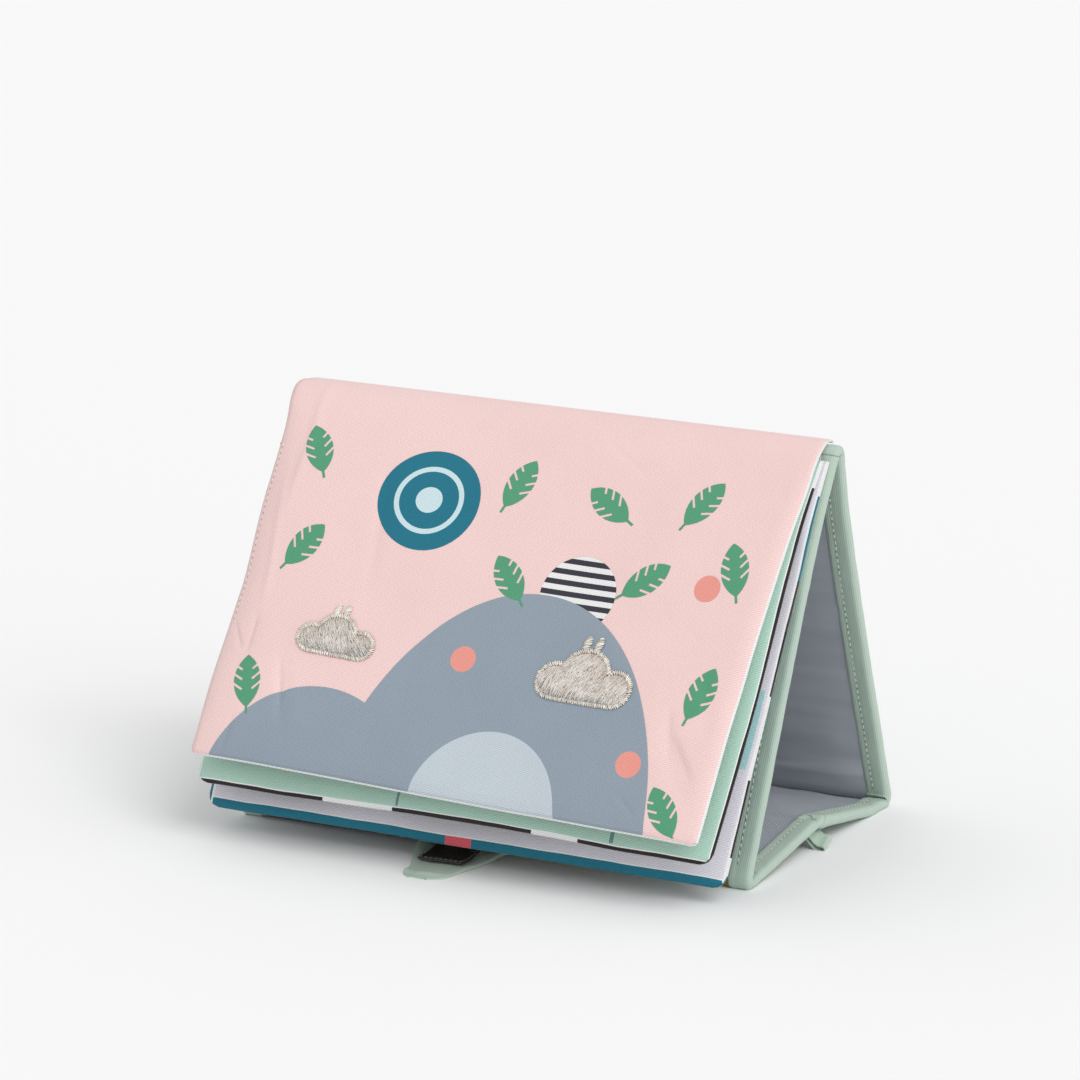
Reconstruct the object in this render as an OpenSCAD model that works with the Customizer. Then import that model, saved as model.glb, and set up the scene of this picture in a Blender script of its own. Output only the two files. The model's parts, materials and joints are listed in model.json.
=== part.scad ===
// Tummy time book: a sewn cloth flip book that stands by itself as a padded tent.
// X runs along the ridge, -Y is the side the leaves hang on, +Z is up.
// The origin lies on the table, under the middle of the whole outline in Y.

/* [Stand] */
// Length of the book along its ridge
book_w = 250; // [200:5:320]
// Height of the fold line, where the two panels meet inside, above the table
fold_h = 176.5; // [150:0.5:210]
// Distance from the middle of the base to each panel's inner face on the table
foot_spread = 70.6; // [55:0.2:85]
// Radius of the soft roll along the bottom of each panel
foot_r = 5; // [4:0.5:7]
// Width of cloth turned under each foot roll, flat on the table
hem_w = 7; // [6:0.5:14]
// Clearance between a panel's top edge and the cloth over the ridge
seam_gap = 0.3; // [0.2:0.1:0.5]

/* [Panel layers] */
// Thickness of the binding tape
tape_t = 0.8; // [0.5:0.1:1.2]
// Width of the binding tape on each face
tape_w = 10; // [7:0.5:14]
// Thickness of the lining cloth
lining_t = 0.5; // [0.3:0.1:1]
// Thickness of the stiffening board
board_t = 2.3; // [1.5:0.1:4]
// Thickness of the outer cloth
cloth_t = 0.6; // [0.4:0.1:1]
// Distance from the fold line down to the top of each board
board_top = 6; // [4:0.5:15]
// Distance from the binding's outer edge in to the side of each board
board_inset = 3; // [2:0.5:8]

/* [Base] */
// Thickness of the padded base
base_t = 3; // [2:0.2:4]
// Height of the underside at the crease across the middle
crease_h = 6.4; // [4:0.2:14]
// Clearance between the base and the panels' inner faces
base_gap = 0.6; // [0.3:0.1:1]
// Least height of the base's binding above the table
tape_lift = 0.1; // [0.1:0.1:0.5]

/* [Cover leaf] */
// Thickness of the padded cover leaf
cover_t = 3; // [2.4:0.2:4]
// Height of the cover leaf's bottom edge above the table
cover_rise = 36.9; // [30:0.1:60]
// Angle between the hanging cover leaf and the vertical
cover_lean = 37.2; // [35:0.2:42]
// Distance from the ridge fold line out to the cover's hinge line
cover_out = 12; // [11.6:0.1:13]
// Width of the seam allowance turned in along the leaf's edge
seam_w = 4; // [3:0.5:8]
// Radius of the leaf's bottom corners
cover_corner = 3; // [1.5:0.5:8]
// Thickness of the cloth strip that carries the cover over the ridge
strip_t = 1.2; // [0.8:0.1:1.3]
// Length of the strip's free part, from the ridge towards the cover
strip_l = 7.3; // [6:0.1:7.4]

/* [Pages] */
// Thickness of each page leaf
page_t = 2.6; // [2:0.2:3]
// Height of the front page leaf's bottom edge above the table
front_page_rise = 25.5; // [20:0.1:50]
// Angle between the front page leaf and the vertical
front_page_lean = 34; // [32.4:0.2:35]
// Height of the rear page leaf's bottom edge above the table
rear_page_rise = 12.5; // [11:0.1:40]
// Angle between the rear page leaf and the vertical
rear_page_lean = 28.8; // [26:0.2:30]
// Distance from the ridge fold line down to the pages' seam
page_seam_v = 3; // [2.6:0.1:5]
// Depth of the block where the pages' seam allowances are stitched together
page_seam_l = 6; // [4:0.5:10]
// Distance from a leaf's side in to the end of the seam block
page_seam_in = 1.5; // [1:0.5:5]
// Clearance behind each leaf at the seam
page_gap = 0.1; // [0.1:0.05:0.3]
// Radius of the pages' bottom corners
page_corner = 7; // [3:0.5:15]

/* [Print] */
// Thickness of a printed field
print_t = 0.2; // [0.1:0.05:0.4]
// Diameter of the printed sun
sun_d = 48; // [30:1:60]
// Diameter of the striped moon
moon_d = 36; // [24:1:44]
// Pitch of the moon's stripes
stripe_pitch = 5; // [4:0.5:8]
// Length of one printed sprig leaf
sprig_l = 25; // [16:1:32]
// Diameter of a printed dot
dot_d = 12; // [6:1:16]

/* [Plush patches] */
// Length of the larger cloud patch
cloud_l = 48; // [36:1:60]
// Width of the satin stitch around a patch
satin_w = 2.4; // [1.6:0.2:4]
// Height of the satin stitch
satin_h = 1.2; // [0.8:0.1:2]
// Height of the plush pile
plush_h = 1.8; // [1:0.1:3]

/* [Tabs] */
// Width of the closure tab where it leaves the front foot
tab_root_w = 44; // [30:1:60]
// Width of the closure tab at its nose
tab_nose_w = 24; // [16:1:30]
// Length of the closure tab from the front foot
tab_l = 49; // [30:1:55]
// Thickness of the closure tab
tab_t = 1.6; // [1:0.1:2.4]
// Sideways place of the closure tab
tab_x = -11; // [-60:1:60]
// Side of the square hook patch on the tab
hook_w = 22; // [12:1:24]
// Thickness of the hook patch
hook_t = 1.2; // [0.8:0.1:2]
// Reach of the pull tab past the book's end
pull_out = 3; // [1:0.2:3.4]

/* [Hidden] */
$fn = 64;

// Panel layers, measured outwards from the plane through the fold line
lining_in = tape_t;
board_in = lining_in + lining_t;
cloth_in = board_in + board_t;
skin = cloth_in + cloth_t;
tape_out = skin + tape_t;
cut_w = book_w - 2 * tape_t;
lean = atan(foot_spread / fold_h);

// Overlap that joins a straight stretch to the curve it runs into
lap = 0.2;

// Centre of the foot roll in Y and Z, and where the roll meets the straight panel
roll_y = -(foot_spread + skin / cos(lean)) + foot_r / tan((90 - lean) / 2);
roll_tangent = (fold_h + skin * sin(lean) - foot_r - foot_r * sin(lean)) / cos(lean);
hem_y = roll_y + hem_w;
lining_end = roll_tangent + foot_r / 2;
tape_end = lining_end + tape_t;

// The cover's hinge line
cover_y = -cover_out * cos(lean);
cover_z = fold_h + cover_out * sin(lean);
cover_l = (cover_z - cover_rise) / cos(cover_lean);

// Where the closure tab leaves the foot roll
tab_y = roll_y - sqrt(foot_r * foot_r - (foot_r - tab_t) * (foot_r - tab_t)) - seam_gap;

// Whole outline in Y, for the origin
cover_reach = -cover_y + cover_l * sin(cover_lean) + cover_t / 2 * cos(cover_lean);
foot_reach = -roll_y + foot_r + tape_t;
tab_reach = tab_l - tab_y;
origin_y = (max(cover_reach, tab_reach) - foot_reach) / 2;

// The page leaves' middles at the seam, measured outwards like the layers
rear_page_w = tape_out + page_gap + page_t / 2;
front_page_w = rear_page_w + page_t + page_gap;

// Length of a page leaf from its seam to its bottom edge
function page_l(out, rise, leaf_lean) =
    (fold_h - page_seam_v * cos(lean) + out * sin(lean) - rise) / cos(leaf_lean);
front_page_l = page_l(front_page_w, front_page_rise, front_page_lean);
rear_page_l = page_l(rear_page_w, rear_page_rise, rear_page_lean);

// Base: where its top meets the panels, its slope, and where the tape under it starts
base_top_y = -(foot_spread * (1 - (cloth_t + base_t) / fold_h)) + base_gap;
base_slope = (crease_h - cloth_t) / -hem_y;
base_tape_y = hem_y + max(tape_t + tape_lift - cloth_t, 0) / base_slope;

sage = "#a3b9ab";
slate = "#8d93a1";
olive = "#8c7f35";
charcoal = "#3f3d3b";
pink = "#f2cecb";
mint = "#b9dccf";
lilac = "#d4d2d9";
hill_blue = "#97a5b1";
pale_blue = "#c9d3da";
teal = "#17788c";
leaf_green = "#57a27c";
cream = "#ddd6cb";
coral = "#e8606a";
salmon = "#f2a193";

// A flat profile drawn in Y and Z, run along X
module along_x(length) {
    rotate([90, 0, 90])
    linear_extrude(length, center = true)
    children();
}

// The same profile, only at one end of the book; side is -1 at the left and 1 at the right
module at_end(side, width, inset = 0) {
    translate([side * (book_w / 2 - inset - width / 2), 0, 0])
    along_x(width)
    children();
}

// A band between two radii, from one angle to another
module arc_band(r_in, r_out, from, to) {
    steps = 6;
    intersection() {
        difference() {
            circle(r_out);
            if (r_in > 0) circle(r_in);
        }
        polygon(concat(
            [[0, 0]],
            [for (k = [0:steps]) 2 * r_out * [
                cos(from + (to - from) * k / steps),
                sin(from + (to - from) * k / steps)
            ]]
        ));
    }
}

// One layer of the front panel, from its inner to its outer face and from top to end
module layer(inner, outer, top, end) {
    translate([0, fold_h])
    rotate(-lean)
    translate([-outer, -end])
    square([outer - inner, end - top]);
}

// Turns a front panel's piece into the back panel's
module on_back() mirror([0, 1, 0]) children();

// Places the drawing so that the origin is under the middle of the outline
module placed() translate([0, origin_y, 0]) children();

module board() {
    along_x(book_w - 2 * board_inset - 2 * tape_t)
    layer(board_in, cloth_in, board_top, roll_tangent);
}

// Outer cloth: down the panel, around the foot roll and under it along the table
module outer_cloth() {
    along_x(cut_w) {
        layer(cloth_in, skin, seam_gap, roll_tangent + lap);
        translate([roll_y, foot_r])
        arc_band(foot_r - cloth_t, foot_r, 180 - lean, 270);
        translate([roll_y - lap, 0])
        square([hem_w + lap, cloth_t]);
    }
}

module lining() {
    along_x(cut_w)
    layer(lining_in, board_in, seam_gap, lining_end);
}

// The rounded foot of the binding, cut level with the table
module binding_roll(r_in) {
    intersection() {
        translate([roll_y, foot_r])
        arc_band(r_in, foot_r + tape_t, 180 - lean, 270);
        translate([-2 * foot_spread, 0])
        square([2 * foot_spread, 3 * foot_r]);
    }
}

// Binding tape around one end of a panel: both faces and the end wall
module panel_binding(side) {
    at_end(side, tape_w - tape_t, tape_t) {
        layer(skin, tape_out, seam_gap, roll_tangent + lap);
        layer(0, tape_t, seam_gap, tape_end);
        binding_roll(foot_r);
    }
    at_end(side, tape_t) {
        layer(0, tape_out, seam_gap, roll_tangent + lap);
        binding_roll(0);
    }
}

// A path in Y and Z, mirrored across the crease and run backwards
function mirrored(path) = [for (i = [len(path) - 1:-1:0]) [-path[i][0], path[i][1]]];

function reversed(path) = [for (i = [len(path) - 1:-1:0]) path[i]];

// A closed outline: its lower edge and its upper edge, each given from the front end
// to just before the crease, with the crease's own two heights
module across_crease(under, under_z, over, over_z) {
    polygon(concat(
        under, [[0, under_z]], mirrored(under),
        reversed(mirrored(over)), [[0, over_z]], reversed(over)
    ));
}

base_over = [[base_top_y, cloth_t + base_t], [hem_y, cloth_t + base_t]];
tape_start = cloth_t + base_slope * (base_tape_y - hem_y) - tape_t;

// Outline of the base: flat on both hems, raised to a crease in the middle
module base_profile() {
    across_crease([[roll_y, cloth_t], [hem_y, cloth_t]], crease_h, base_over, crease_h + base_t);
}

// Binding under the base, where the base is clear of the table
module base_tape_under() {
    across_crease(
        [[base_tape_y, tape_start]], crease_h - tape_t,
        [[base_tape_y, tape_start + tape_t]], crease_h
    );
}

// Binding on top of the base
module base_tape_over() {
    across_crease(
        base_over, crease_h + base_t,
        [for (p = base_over) [p[0], p[1] + tape_t]], crease_h + base_t + tape_t
    );
}

// Binding across the base's end
module base_tape_end() {
    across_crease(
        [[roll_y, tape_lift], [base_tape_y, tape_start]], crease_h - tape_t,
        [for (y = [roll_y, hem_y]) [y, cloth_t + base_t + tape_t]], crease_h + base_t + tape_t
    );
}

module base_pad() {
    color(slate)
    placed()
    along_x(cut_w)
    base_profile();
}

module base_binding(side) {
    color(sage)
    placed() {
        at_end(side, tape_w - tape_t, tape_t) {
            base_tape_under();
            base_tape_over();
        }
        at_end(side, tape_t)
        base_tape_end();
    }
}

module front_board() color("#cfcabd") placed() board();
module back_board() color("#cfcabd") placed() on_back() board();
module front_cloth() color(olive) placed() outer_cloth();
module back_cloth() color(sage) placed() on_back() outer_cloth();
module front_lining() color(slate) placed() lining();
module back_lining() color(slate) placed() on_back() lining();
module front_binding(side) color(sage) placed() panel_binding(side);
module back_binding(side) color(sage) placed() on_back() panel_binding(side);

// Dark band printed low on the front panel
module front_band_print() {
    band_l = book_w * 0.36;
    band_h = 18;
    color(charcoal)
    placed()
    translate([-book_w / 2 + tape_w + band_l / 2, 0, 0])
    along_x(band_l)
    layer(skin, skin + print_t, roll_tangent - band_h, roll_tangent);
}

// Cloth over the ridge, from one panel to the other
module ridge_cloth() {
    color(sage)
    placed()
    along_x(cut_w)
    translate([0, fold_h])
    arc_band(cloth_in, skin, lean, 180 - lean);
}

module ridge_binding(side) {
    color(sage)
    placed() {
        at_end(side, tape_w - tape_t, tape_t)
        translate([0, fold_h])
        arc_band(skin, tape_out, lean, 180 - lean);
        at_end(side, tape_t)
        translate([0, fold_h])
        arc_band(0, tape_out, lean, 180 - lean);
    }
}

// Leaf outline in its own plane, hanging from y = 0, with round bottom corners
module leaf_outline(width, length, corner, inset = 0) {
    w = width - 2 * inset;
    l = length - inset;
    r = max(corner - inset, 0.5);
    translate([-w / 2, -l + r])
    square([w, l - r]);
    translate([-w / 2 + r, -l])
    square([w - 2 * r, l]);
    for (side = [-1, 1])
        translate([side * (w / 2 - r), -l + r])
        circle(r);
}

// Frame of a page leaf: x along the ridge, y up the leaf, z out of its front
module page_frame(out, leaf_lean) {
    translate([0, 0, fold_h])
    rotate([90 - lean, 0, 0])
    translate([0, -page_seam_v, out])
    rotate([lean - leaf_lean, 0, 0])
    children();
}

module page_leaf(out, leaf_lean, length) {
    page_frame(out, leaf_lean)
    translate([0, 0, -page_t / 2])
    linear_extrude(page_t)
    leaf_outline(book_w, length, page_corner);
}

// Both page leaves and the seam block that joins them are one sewn piece
module pages() {
    color(lilac)
    placed() {
        page_leaf(front_page_w, front_page_lean, front_page_l);
        page_leaf(rear_page_w, rear_page_lean, rear_page_l);
        along_x(book_w - 2 * page_seam_in)
        layer(
            rear_page_w - page_t / 2, front_page_w + page_t / 4,
            page_seam_v + page_t / 2, page_seam_v + page_seam_l
        );
    }
}

// A printed field on the front or back face of a page leaf
module page_print(out, leaf_lean, face) {
    placed()
    page_frame(out, leaf_lean)
    translate([0, 0, face > 0 ? page_t / 2 : -page_t / 2 - print_t])
    linear_extrude(print_t)
    children();
}

module page_face_print() {
    margin = 1;
    top = front_page_l * 0.08;
    color(mint)
    page_print(front_page_w, front_page_lean, 1)
    difference() {
        leaf_outline(book_w, front_page_l, page_corner, margin);
        translate([-book_w, -top])
        square([2 * book_w, 2 * top]);
    }
}

module page_black_print() {
    block = book_w * 0.25;
    depth = front_page_l * 0.12;
    edge = book_w * 0.02;
    color(charcoal)
    page_print(front_page_w, front_page_lean, -1)
    intersection() {
        leaf_outline(book_w, front_page_l, page_corner, 1);
        union() {
            for (k = [0, 1])
                translate([-book_w / 2 + k * 1.55 * block, -front_page_l])
                square([block, depth]);
            translate([book_w / 2 - edge, -front_page_l])
            square([edge, front_page_l * 0.8]);
        }
    }
}

module page_teal_print() {
    color(teal)
    page_print(rear_page_w, rear_page_lean, -1)
    difference() {
        leaf_outline(book_w, rear_page_l, page_corner, 1);
        coral_block();
        translate([-book_w, -rear_page_l * 0.7])
        square([2 * book_w, rear_page_l]);
    }
}

module coral_block() {
    translate([-book_w * 0.032, -rear_page_l])
    square([book_w * 0.048, rear_page_l * 0.16]);
}

module page_coral_print() {
    color(coral)
    page_print(rear_page_w, rear_page_lean, -1)
    intersection() {
        leaf_outline(book_w, rear_page_l, page_corner, 1);
        coral_block();
    }
}

module page_aqua_print() {
    color("#a9d5d6")
    page_print(rear_page_w, rear_page_lean, 1)
    translate([book_w * 0.396, -rear_page_l * 0.72])
    square([book_w * 0.096, rear_page_l * 0.19]);
}

// Outline of the closure tab, from its root at y = 0 to its rounded nose
module tab_outline() {
    nose_r = 7;
    hull() {
        translate([-tab_root_w / 2, -1])
        square([tab_root_w, 1]);
        for (side = [-1, 1])
            translate([side * (tab_nose_w / 2 - nose_r), -tab_l + nose_r])
            circle(nose_r, $fn = 32);
    }
}

// Soft tab that lies on the table in front of the front foot
module closure_tab() {
    color(sage)
    placed()
    translate([tab_x, tab_y, 0])
    linear_extrude(tab_t)
    tab_outline();
}

module hook_patch() {
    hook_gap = 6;
    color(charcoal)
    placed()
    translate([tab_x - hook_w / 2, tab_y - hook_gap - hook_w, tab_t])
    cube([hook_w, hook_w, hook_t]);
}

// Small folded loop of tape that sticks out under the crease at the right end
module pull_tab() {
    pull_l = 12;
    pull_w = 11;
    pull_t = 1.6;
    color(sage)
    placed()
    translate([book_w / 2 + pull_out - pull_l, -pull_w / 2, crease_h - tape_t - pull_t - 0.7])
    linear_extrude(pull_t) {
        square([pull_l - pull_w / 2, pull_w]);
        translate([pull_l - pull_w / 2, pull_w / 2])
        circle(pull_w / 2);
    }
}

// Cloth strip from the ridge to the cover's hinge line
module cover_strip() {
    back_edge = 50;
    front_edge = 110;
    color(pink)
    placed()
    along_x(book_w)
    translate([0, fold_h]) {
        arc_band(tape_out, tape_out + strip_t, back_edge, front_edge);
        rotate(front_edge)
        translate([tape_out, -lap])
        square([strip_t, strip_l + lap]);
    }
}

// Frame of the cover leaf: x along the ridge, y up the leaf, z out of its front
module cover_frame() {
    placed()
    translate([0, cover_y, cover_z])
    rotate([90 - cover_lean, 0, 0])
    children();
}

// A half ring around the hinge line, closing the leaf's top edge
module cover_root(r_in, r_out) {
    along_x(book_w)
    arc_band(r_in, r_out, -90, 90);
}

module cover_front_cloth() {
    color(pink)
    cover_frame() {
        translate([0, 0, cover_t / 2 - cloth_t])
        linear_extrude(cloth_t)
        leaf_outline(book_w, cover_l, cover_corner);
        cover_root(cover_t / 2 - cloth_t, cover_t / 2);
    }
}

// Back cloth with the seam allowance turned in all round the leaf
module cover_back_cloth() {
    color("#efe9e3")
    cover_frame() {
        translate([0, 0, -cover_t / 2])
        linear_extrude(cloth_t)
        leaf_outline(book_w, cover_l, cover_corner);
        translate([0, 0, -cover_t / 2 + cloth_t])
        linear_extrude(cover_t - 2 * cloth_t)
        difference() {
            leaf_outline(book_w, cover_l, cover_corner);
            leaf_outline(book_w, cover_l, cover_corner, seam_w);
        }
    }
}

module cover_wadding() {
    color("#f6f4ef")
    cover_frame()
    translate([0, 0, -cover_t / 2 + cloth_t])
    linear_extrude(cover_t - 2 * cloth_t)
    leaf_outline(book_w, cover_l, cover_corner, seam_w);
}

// Printed picture: round hills, a pond, a ringed sun, a striped moon, sprigs and dots.
// Places are shares of the book's width from the leaf's middle, and of the leaf's length
// from its bottom edge.
sun_at = [-0.184, 0.741];
moon_at = [0.144, 0.559];
pond_at = [0.08, -0.033];
large_hill_at = [0.088, -0.088];
small_hill_at = [-0.264, -0.122];
large_cloud_at = [0.208, 0.343];
small_cloud_at = [-0.28, 0.343];
dots_at = [[-0.032, 0.354], [0.336, 0.166], [0.384, 0.62]];
// Each sprig: place and turn
sprigs = [
    [-0.416, 0.83, 25], [-0.392, 0.575, -35], [-0.424, 0.2, 15], [-0.024, 0.819, -20],
    [0.008, 0.575, 40], [0.152, 0.796, 60], [0.328, 0.83, -30], [0.424, 0.675, 20],
    [0.264, 0.62, -50], [0.432, 0.365, -15], [0.424, 0.066, 35]
];

// Moves a picture element from its place over the bottom edge into the leaf's frame
module at_place(p) translate([p[0] * book_w, (p[1] - 1) * cover_l]) children();

module face_field() {
    cover_frame()
    translate([0, 0, cover_t / 2])
    linear_extrude(print_t)
    children();
}

// Part of the picture that stays on the leaf's face
module on_face() {
    intersection() {
        leaf_outline(book_w, cover_l, cover_corner, 1.5);
        union() children();
    }
}

module hill_shape() {
    at_place(large_hill_at) scale([0.68, 1]) circle(book_w * 0.46);
    at_place(small_hill_at) scale([0.86, 1]) circle(book_w * 0.248);
}

module pond_shape() at_place(pond_at) scale([0.9, 1]) circle(book_w * 0.16);

module sun_shape() at_place(sun_at) circle(sun_d / 2);

module moon_shape() at_place(moon_at) circle(moon_d / 2);

module dot_shapes() for (p = dots_at) at_place(p) circle(dot_d / 2);

// Cloud outline: three round lobes on a flat base, drawn about its middle
module cloud_shape(length, inset = 0) {
    r_mid = length * 0.27;
    r_side = length * 0.19;
    low = -length * 0.2;
    translate([-length * 0.02, low + r_mid]) circle(r_mid - inset);
    translate([-length / 2 + r_side, low + r_side]) circle(r_side - inset);
    translate([length / 2 - r_side, low + r_side]) circle(r_side - inset);
    translate([-length / 2 + r_side, low + inset]) square([length - 2 * r_side, r_side]);
}

small_cloud_l = cloud_l * 0.8;

// Outer edge of a patch's satin stitch, with two small stitched loops on its crown
module satin_outline(length) {
    loop_r = length * 0.05;
    cloud_shape(length);
    for (side = [-1, 1])
        translate([length * (0.06 * side - 0.02), length * 0.35 + loop_r / 2])
        circle(loop_r);
}

module cloud_shapes() {
    at_place(large_cloud_at) satin_outline(cloud_l);
    at_place(small_cloud_at) satin_outline(small_cloud_l);
}

// One sprig leaf: a pointed oval with a bare mid vein and bare side cuts
module sprig_shape() {
    bow = sprig_l * 0.62;
    off = sqrt(bow * bow - sprig_l * sprig_l / 4);
    vein = sprig_l * 0.045;
    difference() {
        intersection() {
            translate([off, 0]) circle(bow);
            translate([-off, 0]) circle(bow);
        }
        for (side = [-1, 1], k = [0:2])
            translate([0, -sprig_l * (0.24 - 0.19 * k)])
            rotate(side * -52)
            translate([-vein / 2, sprig_l * 0.12])
            square([vein, sprig_l]);
    }
    translate([-vein / 2, -sprig_l * 0.62]) square([vein, sprig_l * 0.2]);
}

module sprig_shapes() {
    for (s = sprigs)
        at_place([s[0], s[1]])
        rotate(s[2])
        sprig_shape();
}

module hill_print() {
    color(hill_blue)
    face_field()
    difference() {
        on_face() hill_shape();
        pond_shape();
        dot_shapes();
        cloud_shapes();
        sprig_shapes();
    }
}

module pond_print() {
    color(pale_blue)
    face_field()
    difference() {
        on_face() pond_shape();
        cloud_shapes();
    }
}

module sun_rings() {
    ring_r = sun_d * 0.34;
    ring_w = sun_d * 0.05;
    core_r = sun_d * 0.13;
    at_place(sun_at) {
        difference() {
            circle(ring_r);
            circle(ring_r - ring_w);
        }
        circle(core_r);
    }
}

module sun_print() {
    color(teal)
    face_field()
    difference() {
        sun_shape();
        sun_rings();
    }
}

module sun_ring_print() color("#cfe6ea") face_field() sun_rings();

module moon_stripes() {
    at_place(moon_at)
    for (k = [-4:4])
        translate([-moon_d / 2, k * stripe_pitch - stripe_pitch / 4])
        square([moon_d, stripe_pitch / 2]);
}

module moon_print() {
    color("#f4f3f1")
    face_field()
    difference() {
        moon_shape();
        moon_stripes();
        hill_shape();
    }
}

module moon_stripe_print() {
    color(charcoal)
    face_field()
    difference() {
        intersection() {
            moon_shape();
            moon_stripes();
        }
        hill_shape();
    }
}

module sprig_print() {
    color(leaf_green)
    face_field()
    difference() {
        on_face() sprig_shapes();
        moon_shape();
        cloud_shapes();
        dot_shapes();
    }
}

module dot_print() color(salmon) face_field() dot_shapes();

// Plush inside a satin-stitched edge
module plush(place, length) {
    color(cream)
    cover_frame()
    translate([0, 0, cover_t / 2])
    at_place(place)
    linear_extrude(plush_h)
    cloud_shape(length, satin_w);
}

// Satin stitch around the plush
module satin(place, length) {
    color("#cfc6b8")
    cover_frame()
    translate([0, 0, cover_t / 2])
    at_place(place)
    linear_extrude(satin_h)
    difference() {
        satin_outline(length);
        cloud_shape(length, satin_w);
    }
}

front_board();
front_cloth();
front_band_print();
front_lining();
front_binding(-1);  // front_binding_left
front_binding(1);  // front_binding_right
back_board();
back_cloth();
back_lining();
back_binding(-1);  // back_binding_left
back_binding(1);  // back_binding_right
base_pad();
base_binding(-1);  // base_binding_left
base_binding(1);  // base_binding_right
ridge_cloth();
ridge_binding(-1);  // ridge_binding_left
ridge_binding(1);  // ridge_binding_right
pages();
page_face_print();
page_black_print();
page_teal_print();
page_coral_print();
page_aqua_print();
closure_tab();
hook_patch();
pull_tab();
cover_strip();
cover_front_cloth();
cover_wadding();
cover_back_cloth();
hill_print();
pond_print();
sun_print();
sun_ring_print();
moon_print();
moon_stripe_print();
sprig_print();
dot_print();
plush(large_cloud_at, cloud_l);  // large_cloud_plush
satin(large_cloud_at, cloud_l);  // large_cloud_stitch
plush(small_cloud_at, small_cloud_l);  // small_cloud_plush
satin(small_cloud_at, small_cloud_l);  // small_cloud_stitch
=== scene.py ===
import bpy
import bisect
import json
import math
import random
from mathutils import Matrix, Vector, noise


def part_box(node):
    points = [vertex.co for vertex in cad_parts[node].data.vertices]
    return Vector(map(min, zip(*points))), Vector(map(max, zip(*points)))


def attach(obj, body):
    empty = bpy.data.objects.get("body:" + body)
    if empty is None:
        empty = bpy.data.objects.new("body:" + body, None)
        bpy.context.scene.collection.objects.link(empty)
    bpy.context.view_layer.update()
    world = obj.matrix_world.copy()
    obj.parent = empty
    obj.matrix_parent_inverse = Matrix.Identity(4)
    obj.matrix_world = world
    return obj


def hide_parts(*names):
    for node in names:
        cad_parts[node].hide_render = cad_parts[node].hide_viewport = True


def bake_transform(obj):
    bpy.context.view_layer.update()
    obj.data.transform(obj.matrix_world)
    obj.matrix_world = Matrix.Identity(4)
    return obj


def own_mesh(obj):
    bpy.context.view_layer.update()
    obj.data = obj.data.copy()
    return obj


# Cloth flip book on a padded tent stand. Sizes in the dictionaries are millimetres.
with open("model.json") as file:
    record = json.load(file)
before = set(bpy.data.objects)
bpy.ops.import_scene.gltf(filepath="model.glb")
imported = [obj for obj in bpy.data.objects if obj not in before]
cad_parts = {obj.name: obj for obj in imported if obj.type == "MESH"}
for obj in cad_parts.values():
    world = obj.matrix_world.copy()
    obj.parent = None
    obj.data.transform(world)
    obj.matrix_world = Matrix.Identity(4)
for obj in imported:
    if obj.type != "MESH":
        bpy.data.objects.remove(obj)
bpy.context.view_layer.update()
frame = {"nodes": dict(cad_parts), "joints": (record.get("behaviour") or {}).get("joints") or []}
nodes = frame["nodes"]
mm = 0.001
print("frame loaded,", len(nodes), "CAD nodes")

book = {
    "width": 250.0,          # along the ridge
    "foldHeight": 176.5,     # where the panels meet inside
    "footSpread": 70.6,      # middle of the base to a panel's inner face on the table
    "rollStart": 184.39,     # down the panel to where the foot roll begins
    "rollRadius": 5.0,
    "hem": 7.0,
}
baseLow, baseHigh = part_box("base_pad")
middleY = (baseLow.y + baseHigh.y) / 2 / mm
lean = math.atan2(book["footSpread"], book["foldHeight"])
rollY = -(book["footSpread"] + 4.2 / math.cos(lean)) + book["rollRadius"] / math.tan((math.pi / 2 - lean) / 2)
coverHinge = [j for j in frame["joints"] if j["name"] == "cover_turn"][0]["pos_m"]


# Small helpers

def clearSelection():
    if bpy.context.object and bpy.context.object.mode != "OBJECT":
        bpy.ops.object.mode_set(mode="OBJECT")
    bpy.ops.object.select_all(action="DESELECT")


def pick(*objects):
    clearSelection()
    for o in objects:
        o.select_set(True)
    bpy.context.view_layer.objects.active = objects[0]


def smooth(t):
    t = min(1.0, max(0.0, t))
    return t * t * (3 - 2 * t)


def place(x, y, z):
    # the sewn tent stands a little wider at the top of its right end
    high = max(0.0, z) / 180
    spread = (4.6 * high + 3.0 * high ** 6) * max(0.0, min(1.0, x / 125))
    return Vector((x + spread, y + middleY, z)) * mm


def applyAll(piece):
    pick(piece)
    for m in list(piece.modifiers):
        bpy.ops.object.modifier_apply(modifier=m.name)
    return piece


def joinPieces(name, parts):
    pick(*parts)
    if len(parts) > 1:
        bpy.ops.object.join()
    bpy.ops.object.transform_apply(location=True, rotation=True, scale=True)
    piece = bpy.context.object
    piece.name = piece.data.name = name
    return piece


# Materials

def hexColour(text):
    parts = [int(text[i:i + 2], 16) / 255 for i in (1, 3, 5)]
    return tuple(c / 12.92 if c <= 0.04045 else ((c + 0.055) / 1.055) ** 2.4 for c in parts) + (1.0,)


def addNode(tree, kind, settings=None, links=None):
    node = tree.nodes.new(kind)
    for key, value in (settings or {}).items():
        if isinstance(key, int) or key in node.inputs:
            node.inputs[key].default_value = value
        else:
            setattr(node, key, value)
    for socket, source in (links or {}).items():
        tree.links.new(source, node.inputs[socket])
    return node


def newMaterial(name):
    material = bpy.data.materials.new(name)
    material.use_nodes = True
    tree = material.node_tree
    tree.nodes.clear()
    shader = addNode(tree, "ShaderNodeBsdfPrincipled")
    addNode(tree, "ShaderNodeOutputMaterial", links={"Surface": shader.outputs[0]})
    return material, tree, shader


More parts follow.
